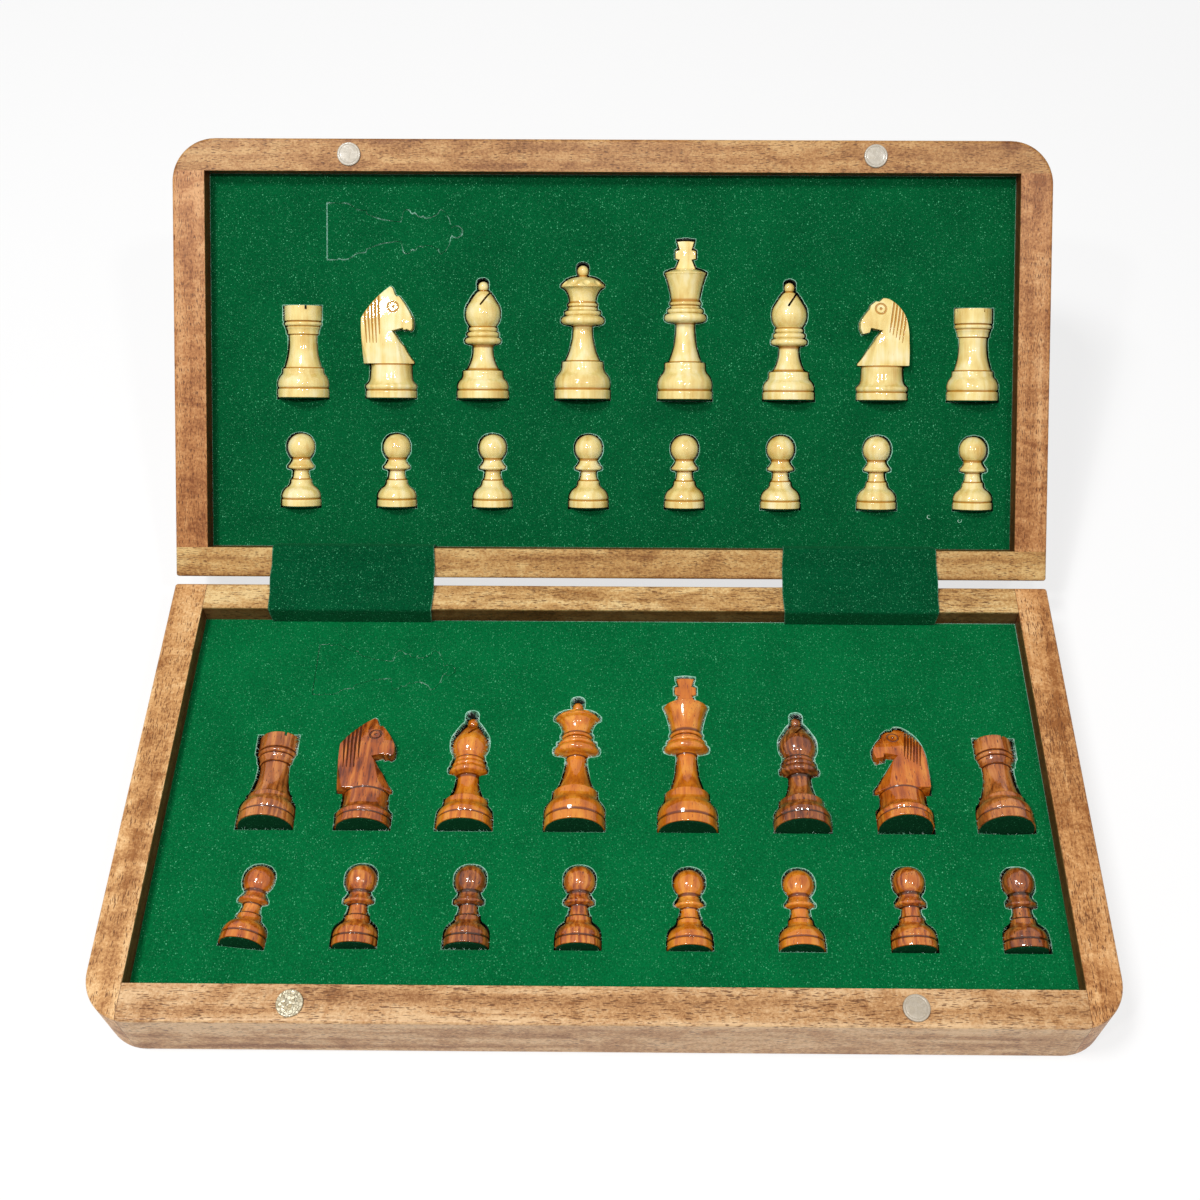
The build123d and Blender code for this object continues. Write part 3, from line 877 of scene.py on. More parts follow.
@dataclass(frozen=True)
class Turning:
    """A lathe outline in millimetres: steps of radius, height and, for a round stretch, its swell."""

    steps: tuple
    soften: float = 0.16
    guard: float = 0.5
    segments: int = 72
    hard: float = math.radians(24)
    long_side: float = 1.5

    def sharp(self) -> list[Point]:
        """The outline before its corners are eased, from the middle of the foot."""
        return stretches((0.0, self.steps[0][1]), self.steps)

    def outline(self) -> list[Point]:
        """The whole outline, from the middle of the foot to the top of the axis."""
        places = self.sharp()
        if places[-1][0] > 1e-6:
            places.append((0.0, places[-1][1]))
        return self.softened(places)

    def softened(self, places: list[Point]) -> list[Point]:
        """The outline with each hard corner eased by two places, and a guard on each long side of it."""
        eased = [places[0]]
        for before, here, after in zip(places, places[1:], places[2:]):
            corner = Vector(here)
            one, two = Vector(before) - corner, Vector(after) - corner
            if math.pi - one.angle(two, math.pi) < self.hard:
                eased.append(here)
                continue
            ease = min(self.soften, one.length / 3, two.length / 3)
            low, high = corner + one.normalized() * ease, corner + two.normalized() * ease
            crown = (low + high) / 4 + corner / 2
            if one.length > self.long_side:
                eased.append(tuple(corner + one.normalized() * self.guard))
            eased += [tuple(low), tuple(crown), tuple(high)]
            if two.length > self.long_side:
                eased.append(tuple(corner + two.normalized() * self.guard))
        return eased + [places[-1]]

    def hollows(self) -> list[Point]:
        """The inner corners, where lacquer gathers and painted shade is put."""
        places, found = self.sharp(), []
        for before, here, after in zip(places, places[1:], places[2:]):
            one, two = Vector(here) - Vector(before), Vector(after) - Vector(here)
            if one.length and two.length and one.normalized().cross(two.normalized()) < -0.55:
                found.append(here)
        return found

    def turn(self, name: str) -> Object:
        """Cut the outline on the lathe, upright on the origin.

        Args:
            name: the piece's name.
        Returns:
            The turned piece.
        """
        outline = [Vector((radius, 0, height)) * MM for radius, height in self.outline()]
        moves = [here - before for before, here in zip(outline, outline[1:])]
        with drawn(name, outline[0], moves) as piece:
            bpy.ops.mesh.spin(steps=self.segments, angle=2 * math.pi, center=(0, 0, 0), axis=(0, 0, 1))
        outward(piece)
        return piece


def foot_steps(radius: float, plinth: float, band: Point, shoulder: Point) -> list[tuple]:
    """The turned foot that every piece has.

    Args:
        radius: the foot's radius.
        plinth: the height of its straight rim.
        band: radius and height of the top of the belly.
        shoulder: radius and height of the shoulder's edge.
    Returns:
        The steps up to the shoulder.
    """
    groove = plinth + 0.42
    belly = (radius - 0.1, groove + 0.1 * (shoulder[1] - groove))
    cove = (shoulder[0] + 0.05, band[1] + 0.62 * (shoulder[1] - band[1]))
    return [
        (radius - 0.12, 0.0), (radius, 0.15), (radius, plinth), (radius - 0.55, groove), belly,
        (*band, 0.12 * math.dist(belly, band)), (*cove, -0.1 * math.dist(band, cove)), shoulder,
    ]


def bead(radius: float, low: float, high: float, groove: float = 0.35) -> list[tuple]:
    """A turned ring: its lower edge, its round face and the cut above it."""
    swell = 0.4 * (high - low)
    return [(radius - swell - groove, low - 0.05), (radius - swell, low), (radius - swell, high, swell)]


def ball_steps(neck: float, radius: float, height: float) -> list[tuple]:
    """A ball on a neck, up to the axis."""
    low, pieces = math.sqrt(max(radius * radius - neck * neck, 0.0)), 14
    steps = [(neck, height - low)]
    first = math.asin(low / radius)
    for step in range(1, pieces + 1):
        turn = -first + (math.pi / 2 + first) * step / pieces
        steps.append((max(radius * math.cos(turn), 0.0), height + radius * math.sin(turn)))
    return steps


@dataclass(frozen=True)
class Piece:
    """One kind of chess piece: its foot, the place where its head rests, and its outline."""

    man: Man
    foot_radius: float
    plinth: float
    rest_height: float
    rest_radius: float
    steps: tuple

    def turning(self) -> Turning:
        """The lathe outline of the piece."""
        return Turning(self.steps, soften=0.11)

    def steepest(self, lift: float) -> float:
        """The dip at which the head touches the floor of the well, in degrees."""
        drop = self.foot_radius + lift - self.rest_radius
        return math.degrees(math.atan2(drop, self.rest_height - self.plinth))


def turned(man: Man, radius: float, plinth: float, rest: Point, belly: tuple, body: list) -> Piece:
    """A piece with the common foot.

    Args:
        man: its kind.
        radius: the foot's radius.
        plinth: the height of the foot's straight rim.
        rest: height and radius of the place where the head rests.
        belly: the top of the belly and the shoulder's edge.
        body: the steps above the foot.
    Returns:
        The piece.
    """
    return Piece(man, radius, plinth, *rest, tuple(foot_steps(radius, plinth, *belly) + body))


ROOK = turned(
    Man.ROOK, 9.2, 2.8, (32.2, 6.8), ((7.7, 8.0), (7.3, 10.1)),
    [(6.6, 10.35), (5.1, 21.8, -0.65), (4.9, 22.15), (5.7, 22.35), (6.2, 24.6, -0.25), (5.9, 24.9)]
    + bead(6.75, 25.15, 26.6) + [(6.1, 26.85), (6.8, 27.05), (6.8, 32.2), (4.7, 32.2), (4.7, 30.2)],
)
KNIGHT = Piece(
    Man.KNIGHT, 9.05, 2.8, 28.0, 6.4,
    (
        (8.93, 0.0), (9.05, 0.15), (9.05, 2.3), (8.55, 2.7), (8.95, 3.2), (8.95, 4.6, 0.25), (7.5, 7.3, -0.4),
        (7.35, 11.9, -0.1), (7.5, 12.1),
    ),
)
BISHOP = turned(
    Man.BISHOP, 9.2, 2.45, (29.5, 6.25), ((7.65, 6.7), (7.1, 9.6)),
    [(5.7, 9.9), (3.6, 18.7, -0.75), (4.6, 18.95)]
    + bead(6.5, 19.15, 21.3) + bead(5.75, 21.65, 23.3) + bead(5.15, 23.65, 24.95)
    + [(4.3, 25.15), (4.75, 25.5), (4.7, 33.9, 1.55), (2.35, 37.35, 0.12), (1.35, 38.0)]
    + ball_steps(1.4, 1.9, 39.3),
)
QUEEN = turned(
    Man.QUEEN, 9.85, 2.9, (39.5, 7.7), ((8.5, 8.6), (7.25, 12.9)),
    [(6.1, 13.2), (3.4, 25.6, -0.8), (5.2, 25.95)]
    + bead(7.65, 26.1, 28.9) + bead(6.45, 29.35, 30.85) + bead(5.2, 31.0, 32.2) + bead(5.3, 32.45, 33.5)
    + [(4.6, 33.7), (6.45, 38.7, -0.55), (7.65, 39.2), (7.65, 39.75), (1.9, 42.8, 0.75), (1.25, 43.2)]
    + ball_steps(1.3, 2.0, 44.9),
)
KING = turned(
    Man.KING, 9.7, 2.6, (44.3, 7.35), ((7.9, 8.9), (7.15, 12.7)),
    [(5.75, 13.0), (3.35, 26.6, -0.8), (5.2, 26.95)]
    + bead(7.45, 27.1, 30.05) + bead(6.4, 30.25, 31.75) + bead(5.2, 31.85, 32.85) + bead(5.55, 33.05, 34.15)
    + [(4.9, 34.35), (7.1, 43.7, -0.3), (7.35, 44.3, 0.1), (2.8, 45.75, 0.3), (2.4, 46.0)],
)
PAWN = turned(
    Man.PAWN, 7.1, 2.15, (21.2, 4.5), ((4.95, 6.7), (3.8, 9.2)),
    [(3.3, 9.5), (2.75, 12.9, -0.15), (4.45, 13.3), (4.75, 13.65), (4.75, 14.1), (3.3, 16.1, -0.12)]
    + ball_steps(3.2, 4.95, 20.8),
)

# Half of the king's cross, and its top
CROSS = [(3.5, 45.7), (2.1, 49.0), (3.6, 49.25), (3.6, 52.0), (2.1, 52.35), (3.0, 55.3)]
CROSS_TOP = 55.5


class Carver:
    """Cuts and adds what the lathe can't make."""

    # Half the head's thickness at the cheek, where it starts to taper, and how it tapers
    CHEEK, BEND, FALL, RISE = 6.4, 28.0, 2.2, 10.8
    EYE = (1.2, 31.9)

    def box(self, size: Sequence, centre: Sequence, turn: Sequence = (0, 0, 0)) -> Object:
        """A cutter with flat faces, in millimetres and degrees.

        Args:
            size: its three sides.
            centre: its middle.
            turn: its turn about X, Y and Z.
        Returns:
            The cutter.
        """
        return add(
            bpy.ops.mesh.primitive_cube_add, "cutter", size=1, location=[place * MM for place in centre],
            rotation=[math.radians(angle) for angle in turn], scale=[side * MM for side in size],
        )

    def rook(self, piece: Object) -> Object:
        """Saw the crown's two crossing slits."""
        cutters = [self.box((16, 0.8, 2.8), (0, 0, 32.2), (0, 0, turn)) for turn in (22, 112)]
        for cutter in cutters:
            carve(piece, cutter)
        return piece

    def bishop(self, piece: Object) -> Object:
        """Saw the slanted slit into the head."""
        lean, reach = 55.0, 9.0
        way = Vector((math.cos(math.radians(lean)), 0, math.sin(math.radians(lean))))
        carve(piece, self.box((reach, 14, 0.7), Vector((-0.7, 0, 32.7)) + way * reach / 2, (0, -lean, 0)))
        return piece

    def queen(self, piece: Object) -> Object:
        """Scoop the scallops round the crown."""
        scallops, reach, height = 10, 8.35, 41.5
        scoops = []
        for count in range(scallops):
            turn = 2 * math.pi * count / scallops
            place = Vector((reach * math.cos(turn), reach * math.sin(turn), height)) * MM
            scoops.append(add(
                bpy.ops.mesh.primitive_uv_sphere_add, "scoop", segments=20, ring_count=12, radius=2.3 * MM,
                location=place,
            ))
        carve(piece, joined(scoops))
        return piece

    def king(self, piece: Object) -> Object:
        """Add the flat cross on the crown."""
        thickness, top = 3.4, 1.1
        right = [Vector((x, 0, z)) for x, z in CROSS] + [Vector((top, 0, CROSS_TOP))]
        left = [Vector((-place.x, 0, place.z)) for place in reversed(right)]
        cross = slab("cross", right + left, thickness)
        with Editing(cross) as edit:
            edit.pick("edges", lambda edge: abs(abs(middle(edge).y) - thickness / 2 * MM) < 1e-6)
            bpy.ops.mesh.bevel(offset=0.35 * MM, segments=3, affect="EDGES")
        return joined([piece, cross])

    def head_outline(self, faces: int = 1) -> list[Vector]:
        """A knight's head seen from its side: pricked ears, or a round crest on those that look left.

        Args:
            faces: the way it looks, 1 to the right and -1 to the left.
        Returns:
            The outline of a head that looks to the right, in millimetres.
        """
        pricked = (
            (-9.3, 12.0), (-9.8, 21.0, -0.1), (-9.95, 27.9, -0.1), (-0.5, 38.75, -0.85), (0.6, 38.7, -0.3),
            (1.0, 38.1), (1.6, 36.3), (2.3, 35.5), (3.1, 35.65), (7.8, 28.2, -0.3), (8.05, 24.9, -0.15),
            (7.1, 23.5, -0.3), (6.2, 24.1), (4.9, 23.75), (4.8, 24.5), (0.8, 23.5), (2.4, 21.4),
            (4.9, 18.0, 0.2), (8.25, 12.6, 0.25), (8.2, 12.0),
        )
        round_crest = (
            (-8.8, 12.0), (-8.75, 20.8, -0.1), (-7.9, 28.0, -0.25), (-2.6, 34.9, -0.8), (0.3, 35.6, -0.25),
            (1.5, 34.4), (2.9, 34.5), (4.6, 33.1), (5.1, 31.6), (8.3, 26.9, -0.25), (8.3, 25.0), (7.5, 23.0),
            (5.1, 23.6), (4.7, 25.2), (0.4, 24.3), (2.5, 21.9), (5.6, 17.2, 0.15), (8.8, 12.7, 0.15),
            (8.8, 12.0),
        )
        steps = pricked if faces > 0 else round_crest
        return [Vector((x, 0, z)) for x, z in stretches(steps[0][:2], steps[1:], 6, 2.0)]

    def knight(self, piece: Object, grooves: int, faces: int) -> Object:
        """Add the carved head, which looks to the right.

        Args:
            piece: the turned foot.
            grooves: how many grooves the mane has.
            faces: the way the knight will look, which sets the shape of its crest.
        Returns:
            The whole knight.
        """
        head = slab("head", self.head_outline(faces), 2 * self.CHEEK)
        self.thin_crest(head)
        self.chest_facets(head, faces)
        with Editing(head) as edit:
            edit.pick("edges", lambda edge: edge.is_manifold and edge.calc_face_angle(0.0) > math.radians(30))
            bpy.ops.mesh.bevel(offset=0.28 * MM, segments=2, affect="EDGES", clamp_overlap=True)
        outward(head)
        for cutter in self.mane(grooves, faces) + self.eyes():
            carve(head, cutter)
        # Small faces, so that merging doubles can't take a whole cheek away
        with Editing(head):
            bpy.ops.mesh.quads_convert_to_tris(quad_method="BEAUTY", ngon_method="BEAUTY")
        outward(head)
        return joined([piece, head])

    def cheek(self, height: float) -> float:
        """Half the head's thickness at a height."""
        return self.CHEEK - self.FALL * max(0.0, height - self.BEND) / self.RISE

    def thin_crest(self, head: Object) -> None:
        """Taper the head from the cheeks to the crest."""
        with Editing(head) as edit:
            bpy.ops.mesh.bisect(plane_co=(0, 0, self.BEND * MM), plane_no=(0, 0, 1))
            for vert in edit.mesh().verts:
                vert.co.y = math.copysign(self.cheek(vert.co.z / MM) * MM, vert.co.y)
            bmesh.update_edit_mesh(head.data)

    def chest_facets(self, head: Object, faces: int) -> None:
        """Pare the two front corners of the neck and, under pricked ears, the two back ones.

        Args:
            head: the head's board.
            faces: the way the knight will look.
        """
        neck_top, low, side_face = 22.6, 12.0, self.CHEEK
        cuts = [((1.6 if faces > 0 else 2.1, side_face, neck_top), (4.4, side_face, low), (8.3, 3.2, low))]
        if faces > 0:
            cuts.append(((-9.9, side_face, 21.5), (-7.4, side_face, low), (-9.4, 4.2, low)))
        ceiling = (neck_top + 0.001) * MM
        for side in (1, -1):
            for cut in cuts:
                corners = [Vector((x, side * y, z)) * MM for x, y, z in cut]
                normal = (corners[1] - corners[0]).cross(corners[2] - corners[0]).normalized()
                if normal.y * side < 0:
                    normal = -normal
                with Editing(head) as edit:
                    bpy.ops.mesh.bisect(plane_co=(0, 0, neck_top * MM), plane_no=(0, 0, 1))
                    edit.pick("faces", lambda face: all(vert.co.z < ceiling for vert in face.verts))
                    bpy.ops.mesh.bisect(plane_co=corners[0], plane_no=normal, use_fill=True, clear_outer=True)
                outward(head)
                # Fill any hole that the cut has left
                with Editing(head) as edit:
                    if edit.pick("edges", lambda edge: edge.is_boundary):
                        bpy.ops.mesh.edge_face_add()

    def mane(self, grooves: int, faces: int) -> list[Object]:
        """Bars that cut the mane's grooves into both cheeks, bent where the cheek bends."""
        cutters = []
        for low, bend, top in self.mane_lines(grooves, faces):
            for side in (1, -1):
                cutters += [self.bar(low, bend, side, 0.14, 0.4), self.bar(bend, top, side, 0.4, 0.36)]
        return cutters

    def mane_lines(self, grooves: int, faces: int) -> list[tuple[Point, Point, Point]]:
        """Where the mane's grooves start, cross the cheek's bend and end."""
        lines = []
        pitch = 1.17 * 5 / grooves
        for count in range(grooves):
            if faces > 0:
                top = (-8.7 + pitch * count, 30.6 + 1.28 * pitch * count)
                low = (-7.9 + 0.97 * pitch * count, 19.2 if count < grooves - 1 else 22.2)
            else:
                top = (-7.6 + 0.85 * pitch * count, 29.6 + 1.15 * pitch * count)
                low = (-6.3 + 0.95 * pitch * count, 20.0 + 0.75 * pitch * count)
            share = (self.BEND - low[1]) / (top[1] - low[1])
            lines.append((low, (low[0] + (top[0] - low[0]) * share, self.BEND), top))
        return lines

    def is_carved(self, place: Vector, lines: list[tuple[Point, Point, Point]]) -> bool:
        """Whether a place on a cheek is in a mane groove or in the eye.

        Args:
            place: place towards the muzzle and height.
            lines: the mane's grooves.
        Returns:
            True where the wood has been cut away.
        """
        eye = (place - Vector(self.EYE)).length
        if 1.3 < eye < 2.3 or eye < 0.6:
            return True
        for low, _, top in lines:
            start, way = Vector(low), Vector(top) - Vector(low)
            along = min(1.0, max(0.0, (place - start).dot(way) / way.length_squared))
            if (place - start - way * along).length < 0.42:
                return True
        return False

    def bar(self, low: Point, high: Point, side: int, start: float, end: float) -> Object:
        """A square bar on its edge that lies in a cheek, to cut one groove.

        Args:
            low: place towards the muzzle and height of its lower end.
            high: the same of its upper end.
            side: which cheek.
            start: half the bar's width at its lower end.
            end: half the bar's width at its upper end.
        Returns:
            The cutter.
        """
        ends = [Vector((x, side * self.cheek(height), height)) for x, height in (low, high)]
        way = ends[1] - ends[0]
        bar = self.box((1, 1, way.length), (0, 0, 0), (0, 0, 45))
        for vert in bar.data.vertices:
            width = (start if vert.co.z < 0 else end) * MM
            for axis in (0, 1):
                reach = vert.co[axis]
                vert.co[axis] = math.copysign(width, reach) if abs(reach) > 0.1 * MM else 0.0
        tip = Matrix.Rotation(math.atan2(way.x, way.z), 4, "Y")
        sink = Matrix.Rotation(-math.atan2(way.y, math.hypot(way.x, way.z)), 4, "X")
        bar.data.transform(Matrix.Translation((ends[0] + ends[1]) / 2 * MM) @ (tip @ sink))
        return bar

    def eyes(self) -> list[Object]:
        """Ring and pupil cutters for both eyes."""
        cutters = []
        forward, height = self.EYE
        for side in (1, -1):
            place = Vector((forward, side * self.cheek(height), height)) * MM
            cutters.append(add(
                bpy.ops.mesh.primitive_torus_add, "eye_ring", location=place,
                rotation=(side * (math.atan2(self.FALL, self.RISE) - math.pi / 2), 0, 0), major_segments=36,
                minor_segments=8, major_radius=1.8 * MM, minor_radius=0.36 * MM,
            ))
            cutters.append(add(
                bpy.ops.mesh.primitive_uv_sphere_add, "pupil", segments=14, ring_count=8, radius=0.55 * MM,
                location=place,
            ))
        return cutters


@dataclass(frozen=True)
class Seat:
    """A well: what it holds, its share of the row, and how its foam grips the dark piece."""

    name: str
    kind: Piece
    share: float
    tone: str
    lift: float = 0.0
    dip: float = 0.0
    turn: float = 0.0
    faces: int = 1
    pad: float = 0.5
    clearance: float = 0.45
    light_pawn_lift: float = 2.2
    light_dip: float = 0.5

    def x(self) -> float:
        """Row X of the well's middle, in millimetres."""
        left, right = (31.3, 13.3) if self.kind is PAWN else (32.3, 14.0)
        return left - INNER + self.share * (2 * INNER - left - right)

    def place(self, half: Half) -> Matrix:
        """Where the upright piece goes in a half.

        Args:
            half: the half that holds it.
        Returns:
            The move in the half's flat frame, in metres.
        """
        lift, dip, turn = self.hold(half)
        height = half.floor_top + half.rest_gap + lift + self.kind.foot_radius
        return self.foot(half, height) @ spin(turn, "Z") @ spin(-90 - dip, "X")

    def hold(self, half: Half) -> tuple[float, float, float]:
        """Lift in millimetres, dip and turn in degrees, of the piece that a half holds."""
        if half is BASE:
            return self.lift, min(self.dip, self.kind.steepest(self.lift)), self.turn
        return self.light_pawn_lift if self.kind is PAWN else 0.0, self.light_dip, 0.0

    def foot(self, half: Half, height: float) -> Matrix:
        """The place of the middle of the foot.

        Args:
            half: the half that holds the piece.
            height: its height in millimetres.
        Returns:
            The move in the half's flat frame, in metres.
        """
        line = PAWN_ROW if self.kind is PAWN else BACK_ROW
        lean = abs(math.sin(math.radians(self.hold(half)[1])))
        y = half.liner_edge + line + self.clearance + self.pad + self.kind.foot_radius * lean
        return Matrix.Translation(Vector((self.x(), y, height)) * MM)


SEATS = [
    Seat("rook_left", ROOK, 0.0, "brown", dip=4.5),
    Seat("knight_left", KNIGHT, 0.132, "russet", lift=0.3, dip=2.2),
    Seat("bishop_left", BISHOP, 0.269, "honey", dip=2.7),
    Seat("queen", QUEEN, 0.418, "honey", dip=1.5),
    Seat("king", KING, 0.571, "honey", dip=-0.5),
    Seat("bishop_right", BISHOP, 0.726, "dark", lift=1.6, dip=2.5),
    Seat("knight_right", KNIGHT, 0.865, "amber", lift=1.2, dip=8.5, faces=-1),
    Seat("rook_right", ROOK, 1.0, "brown", lift=1.3, dip=7.0),
]
# Tone, lift and dip of the pawns, from left to right
PAWNS = (
    ("amber", 3.6, 2.0), ("striped", 1.9, -4.0), ("dark", 2.3, -4.0), ("striped", 2.3, -4.0),
    ("honey", 1.5, -1.5), ("honey", 2.5, -0.5), ("striped", 2.5, -5.5), ("dark", 2.0, -6.5),
)
for number, (tone, lift, dip) in enumerate(PAWNS):
    turn = -6.0 if number == 0 else 0.0
    SEATS.append(Seat(f"pawn_{number + 1}", PAWN, number / 7, tone, lift=lift, dip=dip, turn=turn))

# The woods' dark, middle, pale and groove colours, the groove colour partly lacquer and partly painted shade,
# then ring pitch, contrast, pore limit and pores
TIMBERS = {
    "light": ((200, 156, 66), (228, 205, 132), (242, 231, 190), (172, 114, 10), 3.4, 0.34, 0.7, 0.3),
    "honey": ((156, 70, 4), (204, 114, 18), (226, 150, 50), (96, 36, 0), 3.0, 0.6, 0.66, 0.8),
    "amber": ((136, 54, 4), (190, 98, 18), (216, 136, 50), (82, 30, 0), 2.6, 0.75, 0.65, 0.9),
    "russet": ((98, 36, 4), (160, 76, 16), (198, 116, 44), (58, 20, 0), 2.4, 0.9, 0.64, 0.85),
    "brown": ((112, 52, 16), (170, 94, 36), (204, 130, 64), (76, 30, 8), 2.4, 0.9, 0.64, 0.85),
    "striped": ((120, 46, 6), (182, 94, 22), (214, 136, 54), (68, 24, 0), 2.1, 0.9, 0.65, 0.9),
    "dark": ((84, 32, 6), (140, 70, 22), (184, 110, 46), (46, 16, 0), 2.4, 0.85, 0.62, 0.9),
}


@dataclass(frozen=True)
class Die:
    """The cutting die of a well: the piece's outline with a little room, most at the head."""

    seat: Seat
    gap: float = 0.18
    head_gap: float = 0.45
    top_gap: float = 1.2
    pitch: float = 0.4
    least_slack: float = 0.12
    thickness: float = 1.6

    def profile(self) -> list[Point]:
        """Places close together along the piece's outline: radius and height."""
        outline = self.seat.kind.turning().outline()
        if self.seat.kind is KING:
            outline += CROSS + [(0.0, CROSS_TOP)]
        dense = [(self.seat.kind.foot_radius, -self.seat.pad)]
        for before, here in zip(outline, outline[1:]):
            pieces = max(1, round(math.dist(before, here) / 0.2))
            dense += [tuple(Vector(before).lerp(Vector(here), (step + 1) / pieces)) for step in range(pieces)]
        return dense

    def widths(self, slant: float) -> list[Point]:
        """Half widths of the well and their heights, from the foot to the head.

        Args:
            slant: how far a rim of unit radius leans over, along the well.
        Returns:
            The places on one side.
        """
        profile = self.profile()
        top, crown = max(height for _, height in profile), 2.5
        low = -self.seat.pad - self.gap - self.seat.kind.foot_radius * slant
        count = math.ceil((top + self.top_gap - low) / self.pitch)
        places = []
        for step in range(count + 1):
            height = low + (top + self.top_gap - low) * step / count
            share = max(0.0, height / top)
            room = self.gap + (self.head_gap - self.gap) * share * share
            reach = 0.0
            for radius, level in profile:
                slack = max(room, self.least_slack) + slant * radius
                above = max(slack, self.top_gap if level > top - crown else 0.0)
                if level - slack <= height <= level + above:
                    reach = max(reach, radius)
            places.append((reach + room, height))
        return places

    def plate(self, side: list[Point], place: Matrix, grow: float, thickness: float) -> Object:
        """A flat cutter with the same outline on both sides of the axis.

        Args:
            side: half widths and heights, from the foot to the head.
            place: the middle of the foot, on the felt.
            grow: extra room all round.
            thickness: how thick the cutter is.
        Returns:
            The cutter.
        """
        kept = [side[0]]
        for here, after in zip(side[1:], side[2:]):
            before = Vector(kept[-1])
            chord = (Vector(after) - before).normalized()
            if abs(chord.cross(Vector(here) - before)) > 0.04:
                kept.append(here)
        right = [Vector((width + grow, 0, height)) for width, height in kept + [side[-1]]]
        right[0].z -= grow
        right[-1].z += grow
        left = [Vector((-point.x, 0, point.z)) for point in reversed(right)]
        return self.laid(right + left, place, thickness)

    def laid(self, outline: list[Vector], place: Matrix, thickness: float) -> Object:
        """A cutter of an outline, laid flat at a place."""
        plate = slab("die", outline, thickness)
        plate.data.transform(place @ spin(-90, "X"))
        outward(plate)
        return plate

    def cutters(self, half: Half) -> list[Object]:
        """The die's plates for a half.

        Args:
            half: the half whose felt is cut.
        Returns:
            One plate, or two for a knight.
        """
        _, dip, turn = self.seat.hold(half)
        slant = abs(math.sin(math.radians(dip)))
        place = self.seat.foot(half, (half.tray_top + half.felt_top) / 2) @ spin(turn, "Z")
        plates = [self.plate(self.widths(slant), place, 0.0, self.thickness)]
        if self.seat.kind is KNIGHT:
            corners = Carver().head_outline(self.seat.faces)
            if self.seat.faces < 0:
                corners = [Vector((-corner.x, 0, corner.z)) for corner in reversed(corners)]
            room = 0.5 * (self.gap + self.head_gap) + 3.0 * slant
            plates.append(self.laid(self.spread(corners, room), place, self.thickness))
        return plates

    def spread(self, corners: list[Vector], room: float) -> list[Vector]:
        """An outline with its corners moved out.

        Args:
            corners: the outline's corners.
            room: how far they move.
        Returns:
            The moved corners.
        """
        moved = []
        following = corners[1:] + corners[:1]
        area = sum(a.x * b.z - b.x * a.z for a, b in zip(corners, following))
        sign = 1.0 if area > 0 else -1.0
        for before, here, after in zip(corners[-1:] + corners[:-1], corners, following):
            one, two = (here - before).normalized(), (after - here).normalized()
            way = (one + two).normalized()
            out = Vector((way.z, 0, -way.x)) * sign
            moved.append(here + out * room * min(1.6, 1.0 / max(0.3, way.dot(one))))
        return moved


DIE_ROOM = {
    Man.ROOK: (0.16, 0.22, 0.3), Man.KNIGHT: (0.16, 0.3, 0.3), Man.BISHOP: (0.18, 0.45, 1.2),
    Man.QUEEN: (0.18, 0.45, 1.2), Man.KING: (0.18, 0.5, 1.1), Man.PAWN: (0.2, 0.45, 0.45),
}


